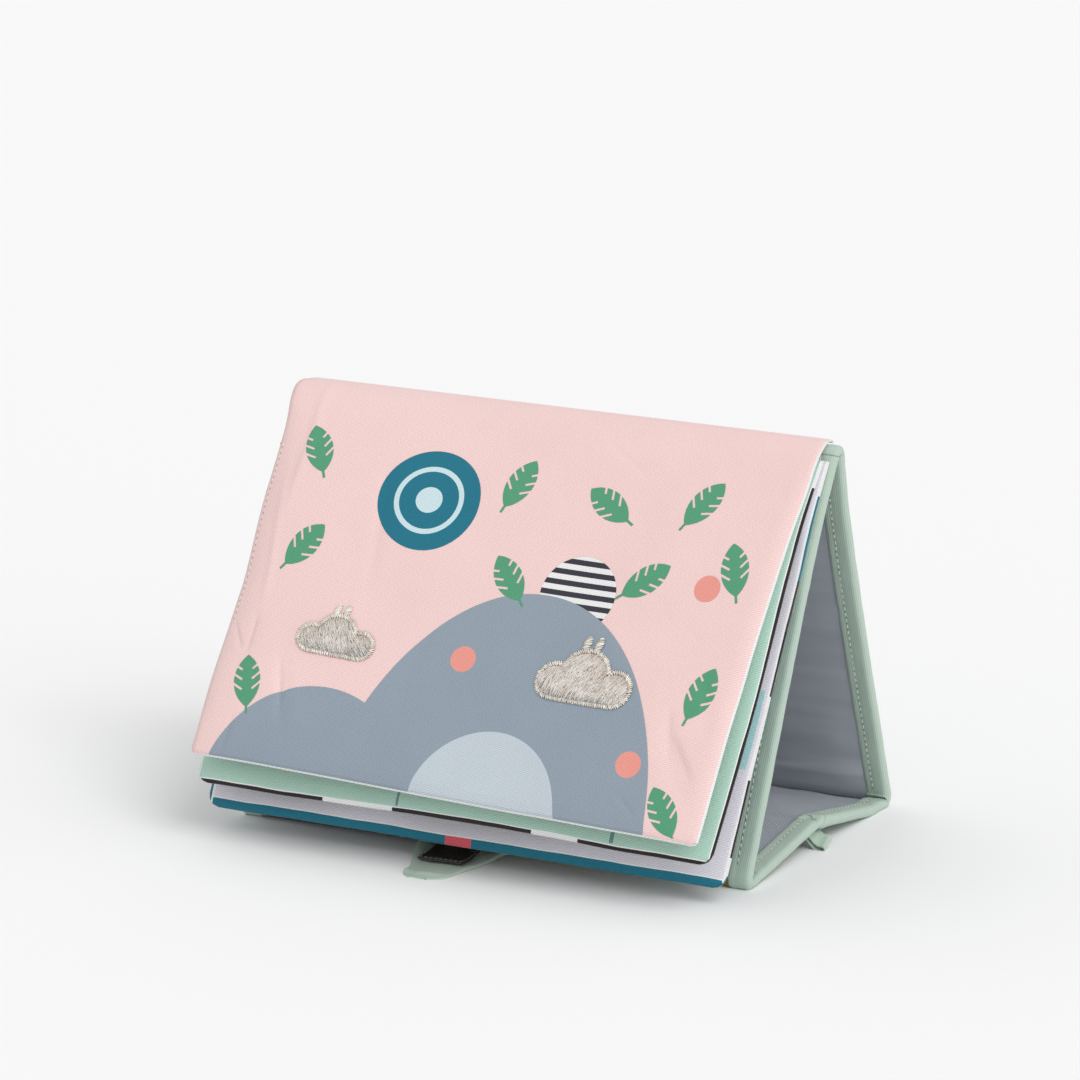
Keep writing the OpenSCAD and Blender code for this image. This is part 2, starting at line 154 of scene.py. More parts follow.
def mixColour(tree, share, first, second, mode="MIX"):
    node = addNode(tree, "ShaderNodeMix", {"data_type": "RGBA", "blend_type": mode})
    for socket, value in ((0, share), (6, first), (7, second)):
        if isinstance(value, bpy.types.NodeSocket):
            tree.links.new(value, node.inputs[socket])
        else:
            node.inputs[socket].default_value = value
    return node.outputs[2]


def calc(tree, operation, first, second=0.0, clamp=False):
    node = addNode(tree, "ShaderNodeMath", {"operation": operation, "use_clamp": clamp})
    for socket, value in ((0, first), (1, second)):
        if isinstance(value, bpy.types.NodeSocket):
            tree.links.new(value, node.inputs[socket])
        else:
            node.inputs[socket].default_value = value
    return node.outputs[0]


# Woven cloth: threads cross at the given pitch. Real threads are about 0.2 mm; they are drawn
# wider here so that the weave still shows from a step away.
fabrics = {
    "twill": {"thread": 1.0, "turn": 62, "ribs": 0.9, "depth": 0.13, "rough": 0.7, "sheen": 0.22,
              "contrast": 0.38},
    "plain": {"thread": 0.9, "turn": 0, "ribs": 0.7, "depth": 0.13, "rough": 0.8, "sheen": 0.28,
              "contrast": 0.42},
    "rib": {"thread": 1.3, "turn": -45, "ribs": 1.0, "depth": 0.16, "rough": 0.62, "sheen": 0.25,
            "contrast": 0.5},
    "lining": {"thread": 0.7, "turn": 45, "ribs": 0.95, "depth": 0.02, "rough": 0.36, "sheen": 0.25,
               "contrast": 0.12},
}


def creaseHeight(tree, uv, x, y, turn, long, wide, deep):
    # one crease in the flat cut: a rounded ridge or groove that dies out at both ends
    turned = addNode(tree, "ShaderNodeMapping", {"vector_type": "TEXTURE", "Location": (x * mm, y * mm, 0),
                                                 "Rotation": (0, 0, math.radians(turn)),
                                                 "Scale": (wide * mm, long / 2 * mm, 1)},
                     {"Vector": uv})
    spot = addNode(tree, "ShaderNodeSeparateXYZ", links={"Vector": turned.outputs[0]})
    across = calc(tree, "MULTIPLY", spot.outputs[0], spot.outputs[0])
    along = calc(tree, "POWER", calc(tree, "ABSOLUTE", spot.outputs[1]), 4.0)
    return calc(tree, "MULTIPLY", calc(tree, "POWER", 2.718,
                                       calc(tree, "SUBTRACT", calc(tree, "MULTIPLY", across, -1.0), along)),
                deep)


def paintCloth(name, weave, paint, creases=(), crumple=0.25):
    look = fabrics[weave]
    material, tree, shader = newMaterial(name)
    uv = addNode(tree, "ShaderNodeTexCoord").outputs["UV"]
    turned = addNode(tree, "ShaderNodeMapping", {"Rotation": (0, 0, math.radians(look["turn"]))},
                     {"Vector": uv})
    scale = 0.314 / (look["thread"] * mm)      # a wave repeats each 0.314 over its scale
    weft = addNode(tree, "ShaderNodeTexWave",
                   {"Scale": scale, "Distortion": 0.6, "Detail": 1.0, "Detail Scale": 1.5,
                                               "bands_direction": "X"}, {"Vector": turned.outputs[0]})
    warp = addNode(tree, "ShaderNodeTexWave",
                   {"Scale": scale * (0.6 if weave != "plain" else 1.0), "Distortion": 0.5,
                                               "bands_direction": "Y"}, {"Vector": turned.outputs[0]})
    threads = calc(tree, "ADD", calc(tree, "MULTIPLY", weft.outputs["Fac"], look["ribs"]),
                   calc(tree, "MULTIPLY", warp.outputs["Fac"], 1 - look["ribs"]))
    slub = addNode(tree, "ShaderNodeTexNoise", {"Scale": 900.0, "Detail": 2.0}, {"Vector": uv})
    cloudy = addNode(tree, "ShaderNodeTexNoise", {"Scale": 28.0, "Detail": 3.0}, {"Vector": uv})
    colour = paint(tree, uv)
    dark = mixColour(tree, 1.0, colour, (0.72, 0.72, 0.74, 1), "MULTIPLY")
    shade = calc(tree, "MULTIPLY", calc(tree, "SUBTRACT", 1.0, threads), look["contrast"] * 1.6, clamp=True)
    shade = calc(tree, "ADD", shade, calc(tree, "MULTIPLY", calc(tree, "SUBTRACT", slub.outputs["Fac"], 0.5),
                                          0.22))
    shade = calc(tree, "ADD", shade, calc(tree, "MULTIPLY",
                                          calc(tree, "SUBTRACT", cloudy.outputs["Fac"], 0.5), 0.3),
                 clamp=True)
    tree.links.new(mixColour(tree, shade, colour, dark), shader.inputs["Base Color"])
    height = calc(tree, "ADD", threads, calc(tree, "MULTIPLY", slub.outputs["Fac"], 0.7))
    soft = addNode(tree, "ShaderNodeTexNoise", {"Scale": 55.0, "Detail": 2.5, "Roughness": 0.45},
                   {"Vector": uv})
    folds = calc(tree, "MULTIPLY", soft.outputs["Fac"], crumple)       # height in mm
    for x, y, turn, long, wide, deep in creases:
        folds = calc(tree, "ADD", folds, creaseHeight(tree, uv, x, y, turn, long, wide, deep))
    low = addNode(tree, "ShaderNodeBump", {"Strength": 1.0, "Distance": mm}, {"Height": folds})
    bump = addNode(tree, "ShaderNodeBump", {"Strength": 0.8, "Distance": look["depth"] * mm},
                   {"Height": height, "Normal": low.outputs[0]})
    tree.links.new(bump.outputs[0], shader.inputs["Normal"])
    shader.inputs["Roughness"].default_value = look["rough"]
    shader.inputs["Sheen Weight"].default_value = look["sheen"]
    shader.inputs["Sheen Roughness"].default_value = 0.45
    shader.inputs["Specular IOR Level"].default_value = 0.3
    return material


def plainPaint(text):
    def paint(tree, uv):
        return colourSocket(tree, text)
    return paint


def colourSocket(tree, text):
    node = addNode(tree, "ShaderNodeRGB")
    node.outputs[0].default_value = hexColour(text)
    return node.outputs[0]


# Printed fields on a leaf: each is a box in the leaf's own flat cut, in mm from its middle
# and from its bottom edge, painted over the ones before it.
def fieldPaint(ground, fields, wobble=0.0):
    def paint(tree, uv):
        split = addNode(tree, "ShaderNodeSeparateXYZ", links={"Vector": uv})
        across, up = split.outputs[0], split.outputs[1]
        if wobble:
            wave = addNode(tree, "ShaderNodeTexNoise", {"Scale": 45.0, "Detail": 1.0}, {"Vector": uv})
            shift = calc(tree, "MULTIPLY", calc(tree, "SUBTRACT", wave.outputs["Fac"], 0.5), wobble * mm)
            across = calc(tree, "ADD", across, shift)
            up = calc(tree, "ADD", up, shift)
        colour = colourSocket(tree, ground)
        for x0, x1, y0, y1, text in fields:
            inside = calc(tree, "MULTIPLY",
                          calc(tree, "MULTIPLY", calc(tree, "GREATER_THAN", across, x0 * mm),
                               calc(tree, "LESS_THAN", across, x1 * mm)),
                          calc(tree, "MULTIPLY", calc(tree, "GREATER_THAN", up, y0 * mm),
                               calc(tree, "LESS_THAN", up, y1 * mm)))
            colour = mixColour(tree, inside, colour, hexColour(text))
        return colour
    return paint


# Polyester thread: a soft gloss along the twist
def threadMaterial(name, text, rough=0.5):
    material, tree, shader = newMaterial(name)
    spot = addNode(tree, "ShaderNodeTexCoord").outputs["Object"]
    fibre = addNode(tree, "ShaderNodeTexNoise", {"Scale": 2200.0, "Detail": 2.0}, {"Vector": spot})
    tone = mixColour(tree, 1.0, hexColour(text), (0.7, 0.7, 0.7, 1), "MULTIPLY")
    tree.links.new(mixColour(tree, fibre.outputs["Fac"], hexColour(text), tone), shader.inputs["Base Color"])
    bump = addNode(tree, "ShaderNodeBump", {"Strength": 0.6, "Distance": 0.06 * mm},
                   {"Height": fibre.outputs["Fac"]})
    tree.links.new(bump.outputs[0], shader.inputs["Normal"])
    shader.inputs["Roughness"].default_value = rough
    shader.inputs["Sheen Weight"].default_value = 0.3
    return material


colours = {
    "pink": "#f6d5d1", "sage": "#b8ccbd", "lining": "#a4a9b2", "baseLining": "#abb0b9", "olive": "#857a33",
    "charcoal": "#3a3835",
    "mint": "#b4d8c8", "lilac": "#e0dee6", "seamWhite": "#f1f1f0", "black": "#211d1b", "teal": "#15748a",
    "aqua": "#a9d5d6", "coral": "#e15a68", "backing": "#ece6df", "hill": "#94a2ae", "pond": "#c6d0d7",
    "ring": "#cfe6ea", "moon": "#eff0ee", "stripe": "#33323b", "sprig": "#55a07a", "dot": "#f09d90",
}
sageCloth = paintCloth("sage_woven_binding", "plain", plainPaint(colours["sage"]))


def satinSheenPaint(tree, uv):
    # painted sheen: soft pale streaks across the panel, where the smooth lining bulges and catches the light
    stretched = addNode(tree, "ShaderNodeMapping", {"Scale": (9.0, 95.0, 1.0)}, {"Vector": uv})
    streak = addNode(tree, "ShaderNodeTexNoise", {"Scale": 1.0, "Detail": 2.0},
                     {"Vector": stretched.outputs[0]})
    down = addNode(tree, "ShaderNodeSeparateXYZ", links={"Vector": uv}).outputs[1]
    away = calc(tree, "ABSOLUTE", calc(tree, "SUBTRACT", down, 0.174))
    near = calc(tree, "MINIMUM", calc(tree, "MULTIPLY", away, 70.0), 1.0)
    low = calc(tree, "SUBTRACT", 1.0, near, clamp=True)
    amount = calc(tree, "MULTIPLY", calc(tree, "SUBTRACT", streak.outputs["Fac"], 0.36),
                  calc(tree, "ADD", 0.5, calc(tree, "MULTIPLY", low, 1.9)), clamp=True)
    return mixColour(tree, amount, hexColour(colours["lining"]), hexColour("#e4e7ea"))


liningCloth = paintCloth("slate_satin_lining", "lining", satinSheenPaint)
baseTwill = paintCloth("slate_twill_lining", "rib", plainPaint(colours["baseLining"]), crumple=0.5)
whiteSeam = paintCloth("white_turned_seam", "plain", plainPaint(colours["seamWhite"]))
sageThread = threadMaterial("sage_sewing_thread", "#e2ece2")
# the darker hole colours are painted shade, for the hollows at the needle holes
needleHoleShade = threadMaterial("sage_needle_hole_shade", "#7c9384", 0.8)
pinkThread = threadMaterial("pink_sewing_thread", "#faeae6")
pinkHoleShade = threadMaterial("pink_needle_hole_shade", "#c99c98", 0.8)
print("materials ready")


# Cloth from a grid

# A grid moved point by point; its UV keeps the flat cut in metres, so the weave follows the cloth
def clothFromGrid(name, across, along, cell, shape, material, thick=0.0, offset=-1.0):
    clearSelection()
    nx, ny = max(2, round(across / cell[0])), max(2, round(along / cell[1]))
    bpy.ops.mesh.primitive_grid_add(x_subdivisions=nx, y_subdivisions=ny, size=1)
    piece = bpy.context.object
    piece.name = piece.data.name = name
    mesh = piece.data
    layer = mesh.uv_layers.active.data
    flat = [((v.co.x + 0.5) * across, (v.co.y + 0.5) * along) for v in mesh.vertices]
    for loop in mesh.loops:
        a, b = flat[loop.vertex_index]
        layer[loop.index].uv = (a * mm, b * mm)
    for v, (a, b) in zip(mesh.vertices, flat):
        v.co = shape(a, b)
    mesh.update()
    mesh.materials.append(material)
    if thick:
        solid = piece.modifiers.new("thickness", "SOLIDIFY")
        solid.thickness, solid.offset = thick * mm, offset
        applyAll(piece)
    pick(piece)
    bpy.ops.object.shade_smooth()
    return piece


# A path of (y, z) points; gives the point at a distance along it and a height to its left
def followPath(points):
    steps = [0.0]
    for a, b in zip(points, points[1:]):
        steps.append(steps[-1] + math.dist(a, b))
    normals = []
    for i in range(len(points)):
        a, b = points[max(0, i - 1)], points[min(len(points) - 1, i + 1)]
        d = math.dist(a, b) or 1.0
        normals.append((-(b[1] - a[1]) / d, (b[0] - a[0]) / d))

    def at(s, n=0.0):
        i = min(len(steps) - 2, max(0, bisect.bisect_right(steps, s) - 1))
        t = (s - steps[i]) / (steps[i + 1] - steps[i])
        u = min(1.0, max(0.0, t))
        return tuple(points[i][k] * (1 - t) + points[i + 1][k] * t
                     + n * (normals[i][k] * (1 - u) + normals[i + 1][k] * u) for k in (0, 1))
    at.length = steps[-1]
    return at


def ripple(x, y, size, seed=0.0):
    return noise.noise(Vector((x / size, y / size, seed * 7.31)))


# Sewn stitches

def stitchAlong(name, spots, material, length=2.5, gap=0.9, width=0.42, jitter=0.06, sink=0.0, holes=None):
    # spots: (point, direction, normal) in metres, close together along the seam
    clearSelection()
    bpy.ops.mesh.primitive_uv_sphere_add(segments=6, ring_count=5, radius=0.5)
    model = bpy.context.object
    for v in model.data.vertices:
        v.co = Vector((v.co.x * length, v.co.y * width, v.co.z * width * 0.8)) * mm
    model.data.materials.append(material)
    # each needle hole gets a small darker pit: painted shade in the hollow
    if holes:       # the cloth is drawn in at each needle hole
        pit = model.copy()
        pit.data = model.data.copy()
        bpy.context.collection.objects.link(pit)
        for v in pit.data.vertices:
            v.co = Vector((v.co.x / length * gap * 1.5 + (length + gap) / 2 * mm, v.co.y * 1.25,
                           v.co.z * 0.5))
        pit.data.materials.clear()
        pit.data.materials.append(holes)
        model = joinPieces("stitch", [model, pit])
    walked, since, parts = 0.0, length + gap, []
    for (p, d, n), (q, _, _) in zip(spots, spots[1:]):
        since += (q - p).length / mm
        if since < length + gap:
            continue
        since = 0.0
        copy = model.copy()
        copy.data = model.data.copy()
        bpy.context.collection.objects.link(copy)
        d, n = d.normalized(), n.normalized()
        side = n.cross(d).normalized()
        d = (d + side * random.uniform(-jitter, jitter)).normalized()
        m = Matrix((d, n.cross(d), n)).transposed().to_4x4()
        m.translation = p + n * sink * mm
        copy.matrix_world = m
        parts.append(copy)
    bpy.data.objects.remove(model)
    bpy.context.view_layer.update()
    piece = joinPieces(name, parts)
    bpy.ops.object.shade_smooth()
    return piece


print("helpers ready")
# Sewn and filled leaves

# A leaf is sewn flat: two sheets that meet at a seam all round, filled thinly, then hung.
# In the flat cut x runs along the ridge, y is the height over the bottom edge, z is outwards.
def fillLeaf(name, leaf, materials):
    clearSelection()
    w, l, cell = leaf["width"], leaf["length"], leaf["cell"]
    bpy.ops.mesh.primitive_grid_add(x_subdivisions=round(w / cell), y_subdivisions=round(l / cell), size=1)
    piece = bpy.context.object
    piece.name = piece.data.name = name
    mesh = piece.data
    flat = [Vector((v.co.x * w, (v.co.y + 0.5) * l, 0)) for v in mesh.vertices]
    r = leaf["corner"]
    for p in flat:      # round the two bottom corners
        dx, dy = r - (w / 2 - abs(p.x)), r - p.y
        if dx > 0 and dy > 0:
            k = max(dx, dy) / math.hypot(dx, dy)
            p.x = math.copysign(w / 2 - r + dx * k, p.x)
            p.y = r - dy * k
    layer = mesh.uv_layers.active.data
    for loop in mesh.loops:
        layer[loop.index].uv = flat[loop.vertex_index].xy * mm
    for v, p in zip(mesh.vertices, flat):
        v.co = p * mm
    for m in materials:
        mesh.materials.append(m)
    solid = piece.modifiers.new("thickness", "SOLIDIFY")
    solid.thickness, solid.offset = 0.001, 0.0
    solid.material_offset, solid.material_offset_rim = 1, 2
    applyAll(piece)
    for v in mesh.vertices:
        x, y = v.co.x / mm, v.co.y / mm
        edge = min(w / 2 - abs(x), y)
        full = leaf["seam"] + (leaf["thick"](l - y) - leaf["seam"]) * smooth(edge / leaf["taper"]) ** 0.7
        v.co.z = math.copysign(full / 2, v.co.z) * mm
    start = [v.co.copy() for v in mesh.vertices]
    held = piece.vertex_groups.new(name="held")
    held.add([v.index for v in mesh.vertices if v.co.y / mm > l - leaf["held"]], 1.0, "REPLACE")
    cloth = piece.modifiers.new("filling", "CLOTH")
    soft = cloth.settings
    soft.quality, soft.mass = 5, 0.3
    soft.tension_stiffness = soft.compression_stiffness = 15
    soft.shear_stiffness, soft.bending_stiffness = 7, leaf["bend"]
    soft.use_pressure, soft.uniform_pressure_force = True, leaf["pressure"]
    soft.vertex_group_mass = "held"
    soft.effector_weights.gravity = 0
    cloth.collision_settings.use_collision = False
    for step in range(1, 21):
        bpy.context.scene.frame_set(step)
    applyAll(piece)
    for v, p in zip(mesh.vertices, start):      # the filling is thin, so the moves are capped
        d = v.co - p
        down = l - p.y / mm
        cap = min(leaf["cap"], 0.15 + down * 0.012) * mm
        v.co = p + Vector((d.x * leaf["pull"], d.y * leaf["pull"], cap * math.tanh(d.z / cap * 0.6)))
    mesh.update()
    pick(piece)
    bpy.ops.object.shade_smooth()
    return piece


def hang(piece, how):
    for v in piece.data.vertices:
        v.co = how(v.co.x / mm, v.co.y / mm, v.co.z / mm)
    piece.data.update()
    return piece


# The cover: pink face, pale back, and the strip that carries it over the ridge
cover = {
    "width": 250.0, "thick": lambda down: 1.1 + 1.7 * smooth((down - 12) / 22), "seam": 0.9, "taper": 5.0,
    "corner": 3.0, "cell": 2.6, "pressure": 1.2, "bend": 0.3, "cap": 1.1, "pull": 0.1, "held": 22.0,
    "lean": 37.2, "stripRadius": 6.9, "stripBack": 50.0,
    "shelf": 4.8,            # how far the top left of the leaf swells out
    "skew": 4.7,             # how much further the right corner hangs than the middle
}
hingeY, hingeZ = coverHinge[1] / mm - middleY, coverHinge[2] / mm
coverLean = math.radians(cover["lean"])
coverDown = (-math.sin(coverLean), -math.cos(coverLean))
coverLength = (hingeZ - 36.9) / math.cos(coverLean)


def coverProfile():
    r = cover["stripRadius"]
    arc = [math.radians(cover["stripBack"] + k * 3) for k in range(16)]
    points = [(r * math.cos(a), book["foldHeight"] + r * math.sin(a)) for a in arc]
    first, last = points[-1], (hingeY + coverDown[0] * 12, hingeZ + coverDown[1] * 12)
    bend = (hingeY + 0.1, hingeZ + 0.2)
    for k in range(1, 21):
        t = k / 20
        points.append(tuple(first[i] * (1 - t) ** 2 + 2 * bend[i] * t * (1 - t) + last[i] * t * t
                            for i in (0, 1)))
    points += [(last[0] + coverDown[0] * d, last[1] + coverDown[1] * d) for d in range(1, 190)]
    return followPath(points)


coverPath = coverProfile()
straightStart = coverPath.length - 189       # the path's distance to the end of the bend
coverFlatLength = straightStart - 12 + coverLength


def coverHang(x, up, n):
    down = coverLength - up                  # from the hinge line, negative on the strip
    side = x / 125
    left = smooth((-x - 10) / 115)
    upper = smooth((down + 13) / 15) * (1 - smooth((down - 50) / 50))
    middle = smooth((down - 60) / 40) * (1 - smooth((down - 150) / 30))
    swell = left * (cover["shelf"] * upper + 1.2 * middle)
    swell -= 2.2 * smooth((x - 20) / 100) * math.exp(-((down - 14) / 18) ** 2)
    free = smooth((down - 8) / 40)
    swell += free * (1.6 * ripple(x, down, 74, 1) + 0.6 * ripple(x + down * 0.4, down, 27, 2))
    bend = -109 - 5 * math.exp(-((down - 85) / 35) ** 2)        # the left strip turns back from here
    strip = 1.6 * math.log1p(math.exp(min(20.0, (bend - x) / 1.6)))
    back = smooth((down - 8) / 44) * (1 - 0.75 * smooth((down - 112) / 30))
    swell -= 0.3 * strip * back
    for cx, cd, turn, depth in ((104, 146, 35, 1.0), (98, 134, 18, 0.6), (112, 120, 18, 0.5),
                                (-88, 146, 17, 0.9),
                                (-111, 122, 0, 0.7), (-30, 120, -12, 0.4), (-66, 60, 8, 0.5)):
        a = math.radians(turn)
        u = (x - cx) * math.cos(a) - (down - cd) * math.sin(a)
        along = (down - cd) * math.cos(a) + (x - cx) * math.sin(a)
        swell -= depth * math.exp(-(u / 3.0) ** 2 - (along / 15) ** 2)
    reach = down + cover["skew"] * side * smooth(down / 170) - 1.2 * left * upper * smooth(down / 60)
    y, z = coverPath(straightStart - 12 + reach, -(n + swell * smooth((down + 14) / 10)))
    x -= left * left * (1.0 * upper + 2.6 * math.exp(-(down / 13) ** 2)) + 0.1 * strip * back
    x -= smooth(side) * (3.0 * smooth(z / 90) + 2.6 * (z / 180) ** 6)         # the leaf is cut straight
    return place(x, y, z)


# Creases pressed in the cloth, in the flat cut: middle, turn, length, width, depth
coverCreases = [
    (-117.5, 57, 29, 14, 1.3, -0.5), (-111, 59, 0, 17, 1.3, -0.45), (-89.5, 35, 17, 25, 1.5, -0.5),
    (-109, 11, -6, 17, 1.6, -0.45), (-104, 40, 30, 12, 1.3, -0.3), (107.5, 36, 37, 22, 2.6, -0.8),
    (98.5, 47, 16, 20, 1.8, -0.35), (-110, 150, -2, 60, 2.2, 0.5), (-113, 104, 5, 60, 2.2, 0.5),
    (-66, 120, 6, 60, 3.0, -0.3), (40, 166, 60, 26, 1.6, -0.2), (88, 12, 50, 12, 1.4, -0.3),
]
hillSpan, pondSpan = (-115.4, 99.2), (-15.6, 55.6)      # where the picture runs off the bottom edge
hillRound = (22.0, -15.9, 78.2, 115.0)                  # middle and half sizes of the large hill
edgePaint = fieldPaint(colours["pink"], [
    (*hillSpan, 0.5, 1.9, colours["hill"]), (*pondSpan, 0.5, 1.9, colours["pond"]),
    (-125, 125, -2, 0.5, colours["seamWhite"]), (124.3, 126, -2, 190, colours["seamWhite"])])


def pinkPaint(tree, uv):
    # the hill's colour also lies under the large patch's edge
    split = addNode(tree, "ShaderNodeSeparateXYZ", links={"Vector": uv})
    terms = []
    for k, (middle, half) in enumerate(((hillRound[0], hillRound[2]), (hillRound[1], hillRound[3]))):
        term = calc(tree, "DIVIDE", calc(tree, "SUBTRACT", split.outputs[k], middle * mm), half * mm)
        terms.append(calc(tree, "MULTIPLY", term, term))
    inside = calc(tree, "LESS_THAN", calc(tree, "ADD", *terms), 0.998)
    inside = calc(tree, "MULTIPLY", inside, calc(tree, "GREATER_THAN", split.outputs[1], 46 * mm))
    return mixColour(tree, inside, edgePaint(tree, uv), hexColour(colours["hill"]))


pinkCloth = paintCloth("pink_printed_twill", "twill", pinkPaint, coverCreases)
coverBackPaint = fieldPaint(colours["backing"], [(-125, 125, 0, 1.2, colours["seamWhite"])])
coverLeaf = fillLeaf("coverLeaf", dict(cover, length=coverFlatLength),
                     [pinkCloth, paintCloth("cover_back_woven", "plain", coverBackPaint), whiteSeam])
print("cover leaf filled,", len(coverLeaf.data.polygons), "faces")


def onCover(x, up):
    hit, spot, normal, _ = coverLeaf.ray_cast(Vector((x, up, 60)) * mm, Vector((0, 0, -1)))
    return (spot, normal) if hit else (Vector((x, up, 1.2)) * mm, Vector((0, 0, 1)))


# Ink sits in the cloth, so each printed field is laid on the filled leaf with the same weave
def printedCloth(name, text):
    return paintCloth(name, "twill", plainPaint(text), coverCreases)


prints = {
    # piece: (CAD node, colour, lift over the cloth in mm)
    "hillPrint": ("hill_print", "hill", 0.13), "pondPrint": ("pond_print", "pond", 0.13),
    "sunPrint": ("sun_print", "teal", 0.12), "sunRingPrint": ("sun_ring_print", "ring", 0.12),
    "moonPrint": ("moon_print", "moon", 0.12), "moonStripePrint": ("moon_stripe_print", "stripe", 0.12),
    "sprigPrint": ("sprig_print", "sprig", 0.14), "dotPrint": ("dot_print", "dot", 0.12),
}


def takeFace(name, cadName):
    # the outer faces of a thin CAD field, in the leaf's flat cut
    mesh = nodes[cadName].data.copy()
    piece = bpy.data.objects.new(name, mesh)
    bpy.context.collection.objects.link(piece)
    turn = Matrix.Rotation(-(math.pi / 2 - coverLean), 3, "X")
    hinge = Vector(coverHinge)
    for v in mesh.vertices:
        v.co = turn @ (v.co - hinge) + Vector((0, coverLength * mm, 0))
    pick(piece)
    bpy.ops.object.mode_set(mode="EDIT")
    bpy.ops.mesh.select_mode(type="FACE")
    bpy.ops.mesh.select_all(action="SELECT")
    bpy.ops.mesh.customdata_custom_splitnormals_clear()
    bpy.ops.mesh.remove_doubles(threshold=0.00001)
    bpy.ops.mesh.select_all(action="DESELECT")
    bpy.ops.object.mode_set(mode="OBJECT")
    mesh.update()
    for f in mesh.polygons:
        f.select = f.normal.z < 0.7
    bpy.ops.object.mode_set(mode="EDIT")
    bpy.ops.mesh.delete(type="FACE")
    bpy.ops.mesh.select_all(action="SELECT")
    bpy.ops.mesh.faces_shade_smooth()
    bpy.ops.object.mode_set(mode="OBJECT")
    return piece


def cutFine(piece, parts=1):
    # straight cuts along the leaf's own rows, so that the flat field can follow the cloth
    mesh = piece.data
    pick(piece)
    sizes = (cover["width"], coverFlatLength)
    for axis in (0, 1):
        low = min(v.co[axis] for v in mesh.vertices) / mm
        high = max(v.co[axis] for v in mesh.vertices) / mm
        start = (-cover["width"] / 2, 0)[axis]
        step = sizes[axis] / round(sizes[axis] / cover["cell"]) / parts
        lines = [start + k * step for k in range(round(sizes[axis] / step) + 1)
                 if low < start + k * step < high]
        normal = (1, 0, 0) if axis == 0 else (0, 1, 0)
        bpy.ops.object.mode_set(mode="EDIT")
        for line in lines:
            bpy.ops.mesh.select_all(action="SELECT")
            bpy.ops.mesh.bisect(plane_co=tuple(line * mm * c for c in normal), plane_no=normal,
                                threshold=1e-7)
        bpy.ops.object.mode_set(mode="OBJECT")
    while mesh.uv_layers:
        mesh.uv_layers.remove(mesh.uv_layers[0])
    layer = mesh.uv_layers.new(name="UVMap").data
    for loop in mesh.loops:
        layer[loop.index].uv = mesh.vertices[loop.vertex_index].co.xy
    return piece


def layOnCover(piece, lift):
    wrap = piece.modifiers.new("lay", "SHRINKWRAP")
    wrap.wrap_method, wrap.target = "PROJECT", coverLeaf
    wrap.use_project_z, wrap.use_negative_direction, wrap.use_positive_direction = True, True, False
    wrap.offset = lift * mm
    for v in piece.data.vertices:
        v.co.z = 20 * mm
    applyAll(piece)
    for v in piece.data.vertices:
        if v.co.z > 15 * mm:
            v.co.z = 1.5 * mm
    return piece


coverPieces = []
for name, (cadName, colour, lift) in prints.items():
    piece = layOnCover(cutFine(takeFace(name, cadName)), lift)
    piece.data.materials.clear()
    piece.data.materials.append(printedCloth(colour + "_print_on_twill", colours[colour]))
    pick(piece)
    bpy.ops.object.shade_smooth()
    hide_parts(cadName)
    coverPieces.append(piece)
print("printed fields laid on the cover")
# Plush cloud patches: pile on a crowned base, edged with satin stitch, made on the flat leaf
plush = {
    # place on the leaf, length in mm
    "large": {"at": (52.0, 62.0), "long": 48.0, "flow": -118, "seed": 3},
    "small": {"at": (-70.0, 62.0), "long": 38.4, "flow": -62, "seed": 4},       # flow: the pile's direction
    "satin": 2.4, "crown": 1.0, "strand": 7.5, "strandWide": 0.72, "spacing": 1.3, "stitchPitch": 0.9,
}


def cloudDepth(u, v, long):
    # distance inside the cloud's outline, below zero outside it
    mid, side, low = long * 0.27, long * 0.19, -long * 0.2
    deep = mid - math.hypot(u + long * 0.02, v - low - mid)
    for s in (-1, 1):
        deep = max(deep, side - math.hypot(u - s * (long / 2 - side), v - low - side))
    if abs(u) < long / 2 - side and v < low + side:
        deep = max(deep, v - low)
    return deep


def cloudEdge(long, inset, pitch):
    # evenly spaced points round the outline, each with its outward direction
    middle, ring = -0.03 * long, []
    for k in range(540):
        a, near, far = math.tau * k / 540, 0.0, long
        for _ in range(24):
            r = (near + far) / 2
            if cloudDepth(r * math.cos(a), middle + r * math.sin(a), long) > inset:
                near = r
            else:
                far = r
        ring.append(Vector((near * math.cos(a), middle + near * math.sin(a))))
    ring.append(ring[0])
    walked, spots = 0.0, []
    for p, q in zip(ring, ring[1:]):
        walked += (q - p).length
        if walked >= pitch:
            walked -= pitch
            d = (q - p).normalized()
            spots.append((q, math.atan2(-d.x, d.y)))
    return spots


def leafFrame(x, up, turn, lift=0.0, scale=(1, 1, 1)):
    # a frame on the leaf's face whose X runs along turn and whose Z stands off the cloth
    spot, normal = onCover(x, up)
    side = normal.cross(Vector((math.cos(turn), math.sin(turn), 0))).normalized()
    m = Matrix((side.cross(normal), side, normal)).transposed().to_4x4()
    m.translation = spot + normal * lift * mm
    return m @ Matrix.Diagonal((*scale, 1))


def toneAndShadeThread(mesh, along, shade):
    # each strand carries its own tone, with painted shade darkening it at the root
    tone = mesh.attributes.get("tone") or mesh.attributes.new("tone", "FLOAT", "POINT")
    for item, t in zip(tone.data, along):
        item.value = shade + 0.55 * t
    return mesh


